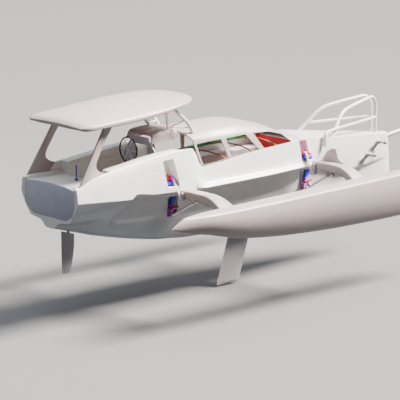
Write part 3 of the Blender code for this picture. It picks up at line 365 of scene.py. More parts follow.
# The gate's way is 8 mm larger than the gate and open at the top
gate_way = [(y + (0.008 if y else 0.0), z - (0.008 if z < 1.5 else -0.3)) for y, z in GATE]
gate_way += [(-y, z) for y, z in reversed(gate_way[1:-1])]
locker = block("locker", (-0.1, -0.86, 0.98), (0.55, 0.86, 1.56), gelcoat)
carve(hull, well, aft_well, rooms, plate("gate_way", gate_way, "x", -0.1, 0.0545, gelcoat), locker)
for name, aft_x, chord, top_z, upper_x, lower_x in BEAMS:
    outline, inner = SLOTS[name]
    for side, s in SIDES:
        y0, y1 = between(s, 1.24, 1.6)
        seat = block("seat", (aft_x - 0.03, y0, 0.6), (aft_x + chord + 0.19, y1, 1.9), gelcoat)
        y0, y1 = between(s, inner, 1.6)
        slot = plate("slot", outline, "y", y0, y1, gelcoat, radius=0.03)
        notch = block("notch", (upper_x - 0.045, y0, 0.86), (upper_x + 0.045, y1, 1.62), gelcoat)
        y0, y1 = between(s, 0.70, 0.95)
        pocket = block("pocket", (lower_x - 0.19, y0, 0.34), (lower_x + 0.19, y1, 0.93), gelcoat)
        carve(hull, seat, slot, notch, pocket)
board_case = block("board_case", (5.24, -0.056, -1.2), (8.14, 0.056, 0.44), gelcoat)
hatch_well = block("hatch_well", (10.16, -0.28, sheer(11.3)[1] - 0.22), (11.24, 0.28, 2.4), gelcoat)
carve(hull, board_case, hatch_well, sharp=18)
stand_for(hull, "hull", "hull")


# Coachroof
# A moulded glass shell, painted, and bonded to the cabin's sills.
# Its side windows and windscreen are plain openings with rounded corners.

# Each row: x, y and z of the brow, y and z of the shoulder, crown z
ROOF = [
    (4.81, 0.93, 2.55, 0.70, 2.69, 2.77), (5.70, 0.90, 2.45, 0.70, 2.70, 2.85),
    (6.30, 0.90, 2.45, 0.70, 2.70, 2.86), (6.90, 0.88, 2.42, 0.68, 2.62, 2.76),
    (7.70, 0.86, 2.32, 0.66, 2.44, 2.54), (8.40, 0.82, 2.14, 0.60, 2.24, 2.31),
    (8.65, 0.80, 2.08, 0.555, 2.15, 2.20), (8.96, 0.78, 2.00, 0.50, 2.03, 2.06),
]
ROOF_RAKE, ROOF_RAKE_RUN, ROOF_WALL = (0.0, 0.28, 0.37, 0.39), 0.89, 0.045
WINDOWS = [
    [(4.865, 1.716), (5.87, 1.812), (5.68, 2.40), (4.66, 2.38)],
    [(5.98, 1.822), (7.11, 1.90), (6.67, 2.405), (5.87, 2.395)],
    [(7.31, 1.905), (7.86, 1.918), (8.53, 1.94), (8.22, 2.20), (7.71, 2.34), (6.98, 2.40)],
]
WINDSCREEN = [(7.98, 0.06), (8.74, 0.06), (8.70, 0.56), (8.02, 0.62)]
roof_at = fair(ROOF)


def roof_ring(x):
    brow_y, brow_z, shoulder_y, shoulder_z, crown = roof_at(x)
    near_aft = max(0.0, 1.0 - (x - ROOF[0][0]) / ROOF_RAKE_RUN)
    sill_y, sill_z = sheer(x)[0] - 0.002, sheer(x)[1] + 0.0003
    outer = [(sill_y, sill_z), (brow_y, brow_z), (shoulder_y, shoulder_z), (0.0, crown)]
    inner = [(sill_y - ROOF_WALL, sill_z), (brow_y - ROOF_WALL, brow_z - 0.02),
             (shoulder_y - 0.02, shoulder_z - ROOF_WALL), (0.0, crown - ROOF_WALL)]
    outer = [(x - back * near_aft, y, z) for back, (y, z) in zip(ROOF_RAKE, outer)]
    inner = [(x - back * near_aft, y, z) for back, (y, z) in zip(ROOF_RAKE, inner)]
    ring = outer + [(a, -y, z) for a, y, z in reversed(outer[:-1])]
    ring += [(a, -y, z) for a, y, z in inner[:-1]] + list(reversed(inner))
    radii = [0.0, 0.07, 0.22, 0.30, 0.22, 0.07, 0.0, 0.0, 0.05, 0.2, 0.3, 0.2, 0.05, 0.0]
    return ease(ring, radii)


topcoat = coat("rose_white_topcoat", (0.42, 0.335, 0.318), (0.39, 0.312, 0.296), (0.36, 0.50), size=1.6,
               gloss=0.15)
roof = skin("coachroof_shell", [roof_ring(x) for x in stations(ROOF, 0.11)], topcoat, 30)
for i, outline in enumerate(WINDOWS):
    carve(roof, plate(f"window_{i}", outline, "y", -1.4, 1.4, gelcoat, radius=0.045), sharp=30)
for side, s in SIDES:
    pane = plate("windscreen", [(a, s * b) for a, b in WINDSCREEN], "z", 1.9, 2.9, gelcoat, radius=0.05)
    carve(roof, pane, sharp=30)
stand_for(roof, "cabin_roof", "hull")


# Foredeck and its hatch
# A cambered deck moulding with a fine non-slip grain, closed onto the hull's sheer.
# The hatch is a panel of the same deck lying in its opening on the hull's rim.
nonslip = coat("nonslip_deck", (0.58, 0.55, 0.505), (0.53, 0.50, 0.46), (0.45, 0.62), size=5.0, grain=150.0,
               bump=0.25, distance=0.003)


def deck_z(x, y):
    """The camber: 90 mm above the sheer at the middle, 70 at 0.6 of the half width, 30 at the edge."""
    half, edge_z = sheer(x)
    share = min(1.0, abs(y) / half)
    return edge_z + (0.090 - 0.020 * share / 0.6 if share < 0.6 else 0.070 - 0.040 * (share - 0.6) / 0.4)


def deck_ring(x, half=None, thick=None):
    """A station of the deck, or of a panel of the deck with its own half width and thickness."""
    edge, edge_z = sheer(x)
    if half is None:
        ys, low = [(edge - 0.002) * k for k in (1.0, 0.97, 0.9, 0.6, 0.3, 0.0)], edge_z + 0.0003
    else:
        ys, low = [half * k for k in (1.0, 0.5, 0.0)], deck_z(x, half) - thick
    ring = [(ys[0], low)] + [(y, deck_z(x, y) - (0.012 if i == 0 and half is None else 0.0))
                             for i, y in enumerate(ys)]
    return [(x, y, z) for y, z in ring + [(-y, z) for y, z in reversed(ring[:-1])]]


DECK_X = (8.9603, 9.2, 9.5, 9.75, 10.1, 10.5, 10.9, 11.4, 11.8, 12.2, 12.6, 13.0, 13.45, 13.62)
foredeck = skin("foredeck_moulding", [deck_ring(x) for x in DECK_X], nonslip, 30)
carve(foredeck, block("hatch_hole", (10.10, -0.34, 1.2), (11.30, 0.34, 2.3), nonslip), sharp=30)
stand_for(foredeck, "foredeck", "hull")
lid = skin("hatch_lid", [deck_ring(x, 0.332, deck_z(x, 0.332) - sheer(x)[1] - 0.0006)
                         for x in (10.108, 10.4, 10.7, 11.0, 11.292)], nonslip, 30)
stand_for(soften(lid, 0.008), "foredeck_hatch", "foredeck_hatch")


# Companionway hood, bulkhead and step
# The hood is a moulding with two raised pads and a channel, joined to the coachroof's aft edge.
# The bulkhead under it is painted board with an open doorway.

# Each row: x, half width, foot z, top z
HOOD = [(3.40, 0.56, 2.51, 2.79), (3.60, 0.59, 2.51, 2.81), (3.95, 0.60, 2.52, 2.82), (4.12, 0.56, 2.53, 2.82),
        (4.4197, 0.42, 2.56, 2.81)]
HOOD_R = (0, .015, .02, .008, .008, 0, .008, .008, .02, .015, 0, 0, .02, .04, 0, .04, .02, 0)
hood_at = fair(HOOD)
rings = []
for x in stations(HOOD, 0.08):
    half, low, top = hood_at(x)
    outer = [(half, low), (half - 0.01, top - 0.10), (half - 0.07, top), (0.035, top + 0.005), (0.028, top - 0.04),
             (0.0, top - 0.04)]
    inner = [(half - 0.04, low), (half - 0.06, top - 0.13), (half - 0.14, top - 0.09), (0.0, top - 0.09)]
    ring = outer + [(-y, z) for y, z in reversed(outer[:-1])] + [(-y, z) for y, z in inner[:-1]] + \
        [(y, z) for y, z in reversed(inner)]
    lean = 0.10 * max(0.0, 1.0 - (x - 3.40) / 0.4)      # the aft face leans forward to the top
    rings.append(ease([(x - lean * (top - z) / (top - low), y, z) for y, z in ring], HOOD_R, 3))
hood = skin("hood_moulding", rings, topcoat, 30)
stand_for(hood, "companionway_hood", "hull")
# Grey paint on the bulkhead, the pedestal and the transom gate. On the lower forks' backing plates the same grey is
# painted shade: it stands for the pocket's gelcoat wall as that wall looks in shade.
grey_paint_and_painted_shade = coat("grey_panel_paint_and_painted_shade", (0.52, 0.52, 0.57), (0.47, 0.47, 0.515), (0.40, 0.55), size=2.0, grain=90.0,
                  bump=0.05)
nodes = frame["nodes"]


def paint(finish, *names):
    """A better finish on CAD pieces that keep their shape."""
    for name in names:
        materials = nodes[name].data.materials
        if not len(materials):
            materials.append(finish)
        for i in range(len(materials)):
            materials[i] = finish


paint(grey_paint_and_painted_shade, "cabin_bulkhead")
paint(nonslip, "companionway_step")


# Hardtop, its legs and its stanchions
# A domed panel over the helm, carried aft on two raked fins and forward on bent tubes.
# The fins are moulded with the panel; the tubes are welded and painted.

# Each row: x, half width, underside z, edge z, crown z
HARDTOP = [
    (0.26, 1.14, 3.345, 3.40, 3.44), (0.32, 1.25, 3.335, 3.44, 3.50), (0.44, 1.30, 3.335, 3.47, 3.56),
    (0.65, 1.33, 3.35, 3.48, 3.61), (1.40, 1.32, 3.365, 3.50, 3.74), (2.20, 1.32, 3.40, 3.53, 3.82),
    (3.00, 1.30, 3.47, 3.58, 3.87), (3.80, 1.22, 3.56, 3.65, 3.87), (4.40, 1.00, 3.62, 3.69, 3.82),
    (4.72, 0.70, 3.66, 3.71, 3.77), (4.86, 0.38, 3.68, 3.715, 3.74),
]
hardtop_at = fair(HARDTOP)
rings = []
for x in stations(HARDTOP, 0.10):
    half, low, edge, crown = hardtop_at(x)
    rise = crown - edge
    top = [(half - 0.015, low), (half, 0.5 * (low + edge)), (half - 0.02, edge), (0.90 * half, edge + 0.24 * rise),
           (0.78 * half, edge + 0.50 * rise), (0.60 * half, edge + 0.72 * rise), (0.42 * half, edge + 0.87 * rise),
           (0.22 * half, edge + 0.965 * rise), (0.0, crown)]
    under = [(0.88 * half, low + 0.01), (0.66 * half, max(low, edge + 0.50 * rise - 0.08)),
             (0.45 * half, max(low, edge + 0.80 * rise - 0.09)), (0.0, crown - 0.09)]
    ring = top + [(-y, z) for y, z in reversed(top[:-1])]
    ring += [(-y, z) for y, z in under[:-1]] + [(y, z) for y, z in reversed(under)]
    rings.append(ease([(x, y, z) for y, z in ring], [0.03] * len(ring), 2))
hardtop = skin("hardtop_panel", rings, topcoat, 40)
stand_for(hardtop, "hardtop", "hull")

FIN_OUTLINE = [(0.005, 1.60), (1.10, 3.33), (1.14, 3.42), (1.47, 3.43), (1.33, 3.22), (1.14, 3.00), (0.78, 2.42),
               (0.75, 2.28), (0.80, 2.18), (0.94, 2.10), (1.10, 2.05), (0.90, 1.80)]
FIN_R = (0.02, 0.06, 0.02, 0.02, 0.2, 0.2, 0.15, 0.06, 0.08, 0.05, 0.02, 0.02)
FIN_HALF, FIN_THICK = 1.192, 0.06
for side, s in SIDES:
    ring = ease([(x, 0, z) for x, z in FIN_OUTLINE], FIN_R, 4)
    # The fin leans in towards its top and towards the bow
    loops = [[(p.x, s * (FIN_HALF - inset - 0.04 * (p.z - 1.75) - 0.045 * min(p.x, 1.0)), p.z) for p in ring]
             for inset in (0.0, FIN_THICK)]
    leg = soften(skin(f"hardtop_fin_{side}", loops, topcoat), 0.012)
    stand_for(leg, f"hardtop_leg_{side}", "hull")


def open_tree(name, *inputs):
    """A Geometry Nodes tree with named inputs, and a round section swept along a line."""
    tree = bpy.data.node_groups.new(name, "GeometryNodeTree")
    for label, kind in inputs:
        tree.interface.new_socket(label, in_out="INPUT", socket_type="NodeSocket" + kind)
    tree.interface.new_socket("Geometry", in_out="OUTPUT", socket_type="NodeSocketGeometry")
    new, link = tree.nodes.new, tree.links.new
    start = new("NodeGroupInput")
    section, sweep = new("GeometryNodeCurvePrimitiveCircle"), new("GeometryNodeCurveToMesh")
    sweep.inputs["Fill Caps"].default_value = True
    link(start.outputs["Radius"], section.inputs["Radius"])
    link(section.outputs["Curve"], sweep.inputs["Profile Curve"])
    return tree, start, section, sweep


def close_tree(tree, start, built):
    """The end of a tree: plain geometry, in the finish that its input names."""
    new, link = tree.nodes.new, tree.links.new
    whole, finish, end = new("GeometryNodeRealizeInstances"), new("GeometryNodeSetMaterial"), new("NodeGroupOutput")
    link(built, whole.inputs["Geometry"])
    link(whole.outputs["Geometry"], finish.inputs["Geometry"])
    link(start.outputs["Finish"], finish.inputs["Material"])
    link(finish.outputs["Geometry"], end.inputs["Geometry"])
    return tree


def tube_tree():
    """Geometry Nodes: a round tube swept along a curve, its ends closed."""
    tree, start, section, sweep = open_tree("swept_tube", ("Geometry", "Geometry"), ("Radius", "Float"),
                                            ("Sides", "Int"), ("Finish", "Material"))
    tree.links.new(start.outputs["Geometry"], sweep.inputs["Curve"])
    tree.links.new(start.outputs["Sides"], section.inputs["Resolution"])
    return close_tree(tree, start, sweep.outputs["Mesh"])


swept_tube = tube_tree()


def set_inputs(modifier, **values):
    """A Geometry Nodes modifier's inputs by name, set through each socket's identifier."""
    for item in modifier.node_group.interface.items_tree:
        if item.item_type == "SOCKET" and item.in_out == "INPUT" and item.name in values:
            modifier[item.identifier] = values[item.name]


def route(corners, radius, steps=7):
    """Straight runs between corners, each inner corner bent to a radius."""
    pts, out = [Vector(c) for c in corners], [Vector(corners[0])]
    for before, here, after in zip(pts, pts[1:], pts[2:]):
        reach = min(radius, (before - here).length * 0.48, (after - here).length * 0.48)
        enter = here + (before - here).normalized() * reach
        leave = here + (after - here).normalized() * reach
        out += [enter * (1 - t) ** 2 + here * 2 * t * (1 - t) + leave * t * t
                for t in [k / steps for k in range(steps + 1)]]
    return out + [pts[-1]]


def swept(name, points, radius, finish, closed=False, sides=20):
    """A round tube or pin along a line of points, as a plain mesh."""
    curve = bpy.data.curves.new(name, "CURVE")
    curve.dimensions = "3D"
    line = curve.splines.new("POLY")
    line.points.add(len(points) - 1)
    for place, point in zip(line.points, points):
        place.co = (*point, 1.0)
    line.use_cyclic_u = closed
    guide = bpy.data.objects.new(name + "_guide", curve)
    deck_plan.objects.link(guide)
    sweep = guide.modifiers.new("sweep", "NODES")
    sweep.node_group = swept_tube
    set_inputs(sweep, Radius=radius, Sides=sides, Finish=finish)
    bpy.context.view_layer.update()
    mesh = bpy.data.meshes.new_from_object(guide.evaluated_get(bpy.context.evaluated_depsgraph_get()))
    bpy.data.objects.remove(guide, do_unlink=True)
    bm = bmesh.new()
    bm.from_mesh(mesh)
    bmesh.ops.remove_doubles(bm, verts=bm.verts, dist=0.00002)
    return mould(name, bm, finish, 50)


def gather(name, *pieces):
    """Several finished pieces as one."""
    bm = bmesh.new()
    finishes = []
    for piece in pieces:
        start = len(bm.faces)
        finish = piece.data.materials[0]
        if finish not in finishes:
            finishes.append(finish)
        bm.from_mesh(piece.data)
        bm.faces.ensure_lookup_table()
        for face in bm.faces[start:]:
            face.material_index = finishes.index(finish)
    mesh = bpy.data.meshes.new(name)
    bm.to_mesh(mesh)
    bm.free()
    for finish in finishes:
        mesh.materials.append(finish)
    for piece in pieces:
        bpy.data.objects.remove(piece, do_unlink=True)
    obj = bpy.data.objects.new(name, mesh)
    deck_plan.objects.link(obj)
    return obj


def on_side(s, points):
    """Points of the port side, or their mirror image to starboard."""
    return [(x, s * y, z) for x, y, z in points]


FRONT_TUBE = [(3.72, 0.80, 3.62), (4.02, 0.80, 3.38), (4.42, 0.79, 3.08), (4.66, 0.74, 2.80), (4.72, 0.72, 2.665)]
REAR_TUBE = [(3.74, 0.65, 3.64), (3.86, 0.58, 3.20), (4.09, 0.385, 2.765)]
BRACE, CROSS = [(4.40, 0.79, 3.10), (4.06, 0.42, 2.86)], [(4.04, 0.44, 2.88), (4.655, 0.745, 2.84)]
for side, s in SIDES:
    bars = [swept("front", route(on_side(s, FRONT_TUBE), 0.25), 0.052, gelcoat),
            swept("rear", route(on_side(s, REAR_TUBE), 0.2), 0.039, gelcoat),
            swept("brace", on_side(s, BRACE), 0.026, gelcoat),
            swept("cross", on_side(s, CROSS), 0.023, gelcoat)]
    stand_for(gather(f"stanchion_tubes_{side}", *bars), f"hardtop_stanchion_{side}", "hull")


# Cockpit: sole, wheel, pedestal and post
# The wheel is a thin dark rim on slim bright spokes, geared to the rudder, on a moulded pedestal.
# The sole is a non-slip panel; the post on the aft deck is painted tube.
paint(nonslip, "cockpit_sole")
paint(grey_paint_and_painted_shade, "helm_pedestal")
HUB, WHEEL_R = Vector((2.91, 0.0, 2.31)), 0.37
rim_black = coat("rim_black", (0.035, 0.033, 0.035), (0.015, 0.014, 0.016), (0.30, 0.45), size=8.0, bump=0.1)
bright_metal = coat("bright_metal", (0.80, 0.79, 0.78), (0.66, 0.65, 0.65), (0.18, 0.32), size=14.0, grain=400.0,
                    bump=0.05, metal=0.9)
round_hub = [2 * math.pi * k / 72 for k in range(72)]
rim = swept("rim", [HUB + Vector((0, WHEEL_R * math.cos(a), WHEEL_R * math.sin(a))) for a in round_hub], 0.022,
            rim_black, closed=True, sides=14)


def spoke_tree():
    """Geometry Nodes: round spokes turned about x at even steps."""
    tree, start, section, sweep = open_tree("wheel_spokes", ("Centre", "Vector"), ("Count", "Int"),
                                            ("Inner", "Float"), ("Outer", "Float"), ("Radius", "Float"),
                                            ("Finish", "Material"))
    new, link = tree.nodes.new, tree.links.new
    section.inputs["Resolution"].default_value = 10
    line = new("GeometryNodeCurvePrimitiveLine")
    for end, socket in (("Inner", "Start"), ("Outer", "End")):
        place = new("ShaderNodeCombineXYZ")
        link(start.outputs[end], place.inputs["Z"])
        link(place.outputs["Vector"], line.inputs[socket])
    link(line.outputs["Curve"], sweep.inputs["Curve"])
    spots, index, way = new("GeometryNodePoints"), new("GeometryNodeInputIndex"), new("ShaderNodeCombineXYZ")
    share, turn, copies = new("ShaderNodeMath"), new("ShaderNodeMath"), new("GeometryNodeInstanceOnPoints")
    share.operation, turn.operation = "DIVIDE", "MULTIPLY_ADD"
    turn.inputs[1].default_value, turn.inputs[2].default_value = 2 * math.pi, math.pi / 6
    link(start.outputs["Count"], spots.inputs["Count"])
    link(start.outputs["Centre"], spots.inputs["Position"])
    link(index.outputs["Index"], share.inputs[0])
    link(start.outputs["Count"], share.inputs[1])
    link(share.outputs["Value"], turn.inputs[0])
    link(turn.outputs["Value"], way.inputs["X"])
    link(spots.outputs["Points"], copies.inputs["Points"])
    link(sweep.outputs["Mesh"], copies.inputs["Instance"])
    link(way.outputs["Vector"], copies.inputs["Rotation"])
    return close_tree(tree, start, copies.outputs["Instances"])


spokes = bpy.data.objects.new("spokes", bpy.data.meshes.new("spokes"))
deck_plan.objects.link(spokes)
fan = spokes.modifiers.new("fan", "NODES")
fan.node_group = spoke_tree()
set_inputs(fan, Centre=HUB[:], Count=6, Inner=0.03, Outer=WHEEL_R - 0.005, Radius=0.012, Finish=bright_metal)
settle(spokes).data.shade_smooth()
spokes.data.set_sharp_from_angle(angle=math.radians(50))
boss = swept("boss", [HUB + Vector((dx, 0, 0)) for dx in (-0.03, -0.025, 0.069)], 0.045, bright_metal, sides=28)
stand_for(gather("steering_wheel", rim, boss, spokes), "helm_wheel", "helm_wheel")
post_blue = coat("post_blue", (0.03, 0.04, 0.50), (0.02, 0.02, 0.34), (0.35, 0.5), size=10.0, bump=0.05)
paint(post_blue, "aft_deck_post")


# Cabin fit-out, seen through the open windows
# Green stringers under the sills, bent brown deck beams, pale berth lockers and a red forward panel.
# All are painted boards bonded to the hull.
stringer_green = coat("stringer_green", (0.04, 0.30, 0.09), (0.02, 0.20, 0.05), (0.45, 0.6), size=6.0, grain=60.0,
                      bump=0.1)
beam_brown = coat("beam_brown", (0.42, 0.19, 0.07), (0.26, 0.10, 0.035), (0.4, 0.6), size=9.0, grain=70.0, bump=0.2)
panel_red = coat("panel_red", (0.75, 0.02, 0.025), (0.55, 0.012, 0.016), (0.5, 0.65), size=4.0, grain=60.0,
                 bump=0.1)
shelf_paint = coat("shelf_paint", (0.62, 0.545, 0.53), (0.52, 0.45, 0.44), (0.5, 0.65), size=3.0, grain=70.0,
                   bump=0.1)
paint(stringer_green, "sill_stringer_port", "sill_stringer_starboard")
paint(beam_brown, *[f"deck_beam_{k}" for k in (1, 2, 3, 4)])
paint(panel_red, "forward_panel")
paint(shelf_paint, "berth_locker_port", "berth_locker_starboard", "cabin_sole")


# Transom gate
# A moulded panel in grey paint, hinged at its foot, which closes the stern locker.
# Its corners are rounded and its edges are eased.
outline = [(y, z) for y, z in GATE] + [(-y, z) for y, z in reversed(GATE[1:-1])]
gate = plate("transom_panel", outline, "x", 0.004, 0.054, grey_paint_and_painted_shade, radius=0.06, edge=0.006)
stand_for(gate, "transom_gate", "transom_gate")


# Rudder and centreboard
# Foils of glass over foam with grey bottom paint: blunt at the leading edge, fine at the trailing one.
# The rudder turns on its stock; the board pivots on a pin in its case.
foil_paint = coat("foil_paint", (0.47, 0.42, 0.41), (0.42, 0.375, 0.365), (0.38, 0.5), size=2.5, grain=160.0,
                  bump=0.04)
# Share of the chord from the trailing edge, and share of the half thickness
FOIL = [(0.0, 0.0), (0.08, 0.20), (0.22, 0.55), (0.40, 0.84), (0.58, 0.99), (0.72, 0.98), (0.84, 0.83),
        (0.92, 0.62), (0.97, 0.38), (0.992, 0.19), (1.0, 0.0)]


def foil(trail, lead, z_at, thick):
    """One section between two x values, at the height that z_at gives for each x."""
    side = [(trail + a * (lead - trail), 0.5 * thick * b) for a, b in FOIL]
    return [(x, y, z_at(x)) for x, y in side + [(x, -y) for x, y in reversed(side[1:-1])]]


keel_at = fair([(row[0], row[1]) for row in HULL])
# Each row: z, trailing x, leading x, thickness. The first section follows the keel, 20 mm below it.
BLADE = [(-0.10, 0.40, 0.875, 0.10), (-0.35, 0.404, 0.845, 0.09), (-0.60, 0.41, 0.80, 0.072),
         (-0.82, 0.42, 0.745, 0.05), (-0.89, 0.438, 0.71, 0.036), (-0.92, 0.47, 0.66, 0.016)]
blade = skin("rudder_blade", [foil(0.40, 0.87, lambda x: keel_at(x)[0] - 0.02, 0.10)] +
             [foil(trail, lead, lambda x, z=z: z, thick) for z, trail, lead, thick in BLADE], foil_paint, 60)
stock = swept("stock", [(0.66, 0, 0.02), (0.66, 0, 0.6196)], 0.045, foil_paint, sides=24)
stand_for(gather("rudder_with_stock", blade, stock), "rudder", "rudder")

# Each row: z, inset of both edges, share of the full thickness
BOARD = [(-0.10, 0.10, 0.8), (-0.22, 0.0, 1.0), (-1.15, 0.0, 1.0), (-2.20, 0.0, 0.96), (-2.27, 0.012, 0.8),
         (-2.30, 0.04, 0.4)]
BOARD_TOP_X, BOARD_FOOT_X, BOARD_CHORD, BOARD_THICK = 7.06, 6.35, 0.90, 0.085
rings = []
for z, inset, share in BOARD:
    trail = BOARD_TOP_X + (BOARD_TOP_X - BOARD_FOOT_X) / 2.20 * (z + 0.10)
    rings.append(foil(trail + inset, trail + BOARD_CHORD - inset, lambda x, z=z: z, BOARD_THICK * share))
board = skin("centreboard_foil", rings, foil_paint, 60)
boss = swept("boss", [(7.69, -0.0556, -0.30), (7.69, 0.0556, -0.30)], 0.05, foil_paint, sides=24)
stand_for(gather("centreboard_with_boss", board, boss), "centreboard", "centreboard")


# Pulpits, bowsprit and bow steps
# The pulpits are stout painted tubes bent to a hoop, with a rail at half height.
# The steps on the starboard bow are grey tube brackets with a round pad.
HOOP = [(10.44, 0.73, 1.74), (11.20, 0.45, 2.46), (11.98, 0.30, 2.58), (12.86, 0.14, 2.68), (13.03, 0.10, 2.46),
        (13.05, 0.10, 1.50)]
RAILS = {"port": [(13.03, 0.11, 2.00), (12.00, 0.36, 2.00), (10.82, 0.61, 2.01)],
         "starboard": [(13.03, 0.11, 2.00), (12.00, 0.38, 2.00), (10.75, 0.70, 2.02), (9.98, 0.965, 2.03),
                       (9.88, 0.985, 1.62)]}
for side, s in SIDES:
    tubes = [swept("hoop", route(on_side(s, HOOP), 0.30), 0.055, gelcoat, sides=24),
             swept("rail", route(on_side(s, RAILS[side]), 0.16), 0.044, gelcoat)]
    if side == "starboard":         # this rail runs aft to a stout foot of its own
        foot = swept("foot", [(9.955, -0.970, 1.98), (9.885, -0.985, 1.60)], 0.066, gelcoat, sides=24)
        tubes.append(soften(foot, 0.012))
    stand_for(gather(f"pulpit_tubes_{side}", *tubes), f"pulpit_{side}", "hull")
rise = math.radians(7.0)
sprit_dir = Vector((math.cos(rise), 0, math.sin(rise)))
sprit_foot = Vector((13.60, 0, 1.30))
sprit = swept("sprit", [sprit_foot + sprit_dir * d for d in (0.08, 1.0, 1.93)], 0.0645, gelcoat, sides=28)
stand_for(soften(sprit, 0.012), "bowsprit", "hull")
step_metal = coat("step_metal", (0.50, 0.46, 0.44), (0.40, 0.37, 0.35), (0.35, 0.5), size=12.0, grain=300.0,
                  bump=0.05)
for name, x, z in (("lower", 12.00, 0.90), ("upper", 12.60, 1.20)):
    y = -lines_at(x)[11]
    out = y - 0.16
    arm = route([(x, y + 0.05, z - 0.18), (x + 0.10, out, z + 0.13), (x + 0.42, out, z + 0.05)], 0.05, 5)
    brace = [(x + 0.11, y + 0.06, z - 0.18), (x + 0.21, out, z + 0.13)]
    bar = [(x + 0.05, out, z + 0.13), (x + 0.26, out, z + 0.13)]
    pad = [(x + 0.39, out, z + 0.058), (x + 0.48, out, z + 0.035)]
    peg = [(x + 0.34, out, z + 0.07), (x + 0.30, y + 0.10, z - 0.03)]
    parts = [swept("arm", arm, 0.034, step_metal, sides=16), swept("brace", brace, 0.034, step_metal, sides=16),
             soften(swept("bar", bar, 0.039, step_metal, sides=16), 0.008),
             soften(swept("pad", pad, 0.065, step_metal, sides=24), 0.012),
             swept("peg", peg, 0.027, step_metal, sides=14)]
    stand_for(gather(f"step_bracket_{name}", *parts), f"bow_step_{name}", "hull")


# Floats and beams
# Each float is a slim glass shell with a flat-topped deck, in the same paint as the roof.
# Two curved beams are bonded to it and fold with it on the hinged struts.

# Each row: x, half width, deck z, keel z
FLOAT = [
    (2.03, 0.035, 0.97, 0.73), (2.25, 0.10, 0.98, 0.62), (2.55, 0.19, 0.99, 0.50), (3.00, 0.28, 1.00, 0.36),
    (4.40, 0.34, 1.01, 0.04), (6.20, 0.36, 1.03, -0.15), (8.40, 0.36, 1.06, -0.26), (10.40, 0.32, 1.08, -0.29),
    (12.00, 0.20, 1.08, -0.22), (13.10, 0.05, 1.06, -0.06),
]
FLOAT_Y, FLOAT_HALF, TAIL_RAKE, TAIL_RUN = 3.32, 0.36, 0.43, 0.97
float_at = fair(FLOAT)
# Each row: y, drop of the top, depth, shift forward, growth of the chord
BEAM = [
    (1.25, 0.00, 0.21, 0.00, 0.00), (1.80, -0.015, 0.25, 0.00, 0.00), (2.25, -0.01, 0.26, 0.00, 0.02),
    (2.52, 0.04, 0.26, -0.01, 0.06), (2.76, 0.14, 0.27, -0.03, 0.12), (2.98, 0.28, 0.27, -0.05, 0.18),
    (3.20, 0.46, 0.26, -0.06, 0.20),
]
# The beam's section in shares of chord and depth, from its aft top edge, and the radius at each corner
SECTION = [(0.03, 1.0), (0.0, 0.88), (0.0, 0.12), (0.05, 0.02), (0.52, -0.02), (0.86, 0.12), (1.0, 0.52),
           (0.95, 0.92)]
SECTION_R = (0.02, 0.02, 0.015, 0.015, 0.15, 0.12, 0.08, 0.03)
beam_at = fair(BEAM)
FIN = [(1.30, 1.22), (1.32, 1.36), (1.49, 1.60), (1.70, 1.71), (1.86, 1.73), (1.94, 1.49), (2.07, 1.37),
       (2.40, 1.27), (2.40, 1.18)]
# y and z of each strut's pins, on the hull and on the beam
LOWER_PINS, UPPER_PINS = ((0.88, 0.42), (1.80, 0.93)), ((1.05, 1.55), (1.36, 0.948))


def float_ring(x):
    half, deck, keel_z = float_at(x)
    depth = deck - keel_z
    ring = [(0.0, deck + 0.035), (0.55 * half, deck + 0.02), (0.86 * half, deck - 0.03), (half, deck - 0.32 * depth),
            (0.86 * half, deck - 0.62 * depth), (0.46 * half, deck - 0.90 * depth), (0.0, keel_z)]
    ring += [(-y, z) for y, z in reversed(ring[1:-1])]
    tail = TAIL_RAKE * max(0.0, 1.0 - (x - FLOAT[0][0]) / TAIL_RUN)
    wide = half / FLOAT_HALF
    radii = [0.1, 0.1, 0.05, 0.25, 0.25, 0.25, 0.12]
    return ease([(x - tail * (deck - z) / depth, y, z) for y, z in ring],
                [r * wide for r in radii + list(reversed(radii[1:-1]))])


def beam_ring(y, s, aft_x, chord, top_z):
    drop, depth, shift, growth = beam_at(y)
    growth += 0.15 * max(0.0, (1.62 - y) / 0.37) ** 2         # the root flares into the flange
    x0, c, top = aft_x + shift, chord + growth, top_z - drop
    return [(p.x, s * p.y, p.z) for p in ease([(x0 + a * c, y, top - b * depth) for a, b in SECTION], SECTION_R)]


def flipped(s, outline):
    """An outline in y and z, on the side of s."""
    return [(s * y, z) for y, z in outline]


def ear_outline(y, z, wide, waist, reach, root_z):
    """A tab that hangs from the beam round a pin."""
    return [(y - wide, root_z), (y - 0.05, z - waist), (y, z - reach), (y + 0.05, z - waist), (y + wide, root_z)]


for side, s in SIDES:
    shell = skin(f"float_shell_{side}", [[(p.x, s * (FLOAT_Y + p.y), p.z) for p in float_ring(x)]
                                         for x in stations(FLOAT, 0.14)], topcoat, 35)
    stand_for(shell, f"float_{side}", f"outrigger_{side}")
    for name, aft_x, chord, top_z, upper_x, lower_x in BEAMS:
        pieces = [skin("beam", [beam_ring(y, s, aft_x, chord, top_z) for y in stations(BEAM, 0.06)], topcoat, 40)]
        if name == "forward":
            pieces.append(plate("fin", flipped(s, FIN), "x", aft_x + 0.36, aft_x + 0.42, topcoat, radius=0.04,
                                edge=0.02))
        lug = flipped(s, ear_outline(*LOWER_PINS[1], 0.10, 0.03, 0.055, top_z - 0.16))
        pieces += [plate("lug", lug, "x", x0, x0 + 0.025, topcoat, radius=0.03)
                   for x0 in (lower_x - 0.1254, lower_x + 0.1004)]
        ear = flipped(s, ear_outline(*UPPER_PINS[1], 0.06, 0.0, 0.045, top_z - 0.05))
        pieces.append(plate("ear", ear, "x", upper_x + 0.033, aft_x + 0.06, topcoat, radius=0.03))
        stand_for(gather(f"beam_moulding_{name}_{side}", *pieces), f"beam_{name}_{side}", f"outrigger_{side}")


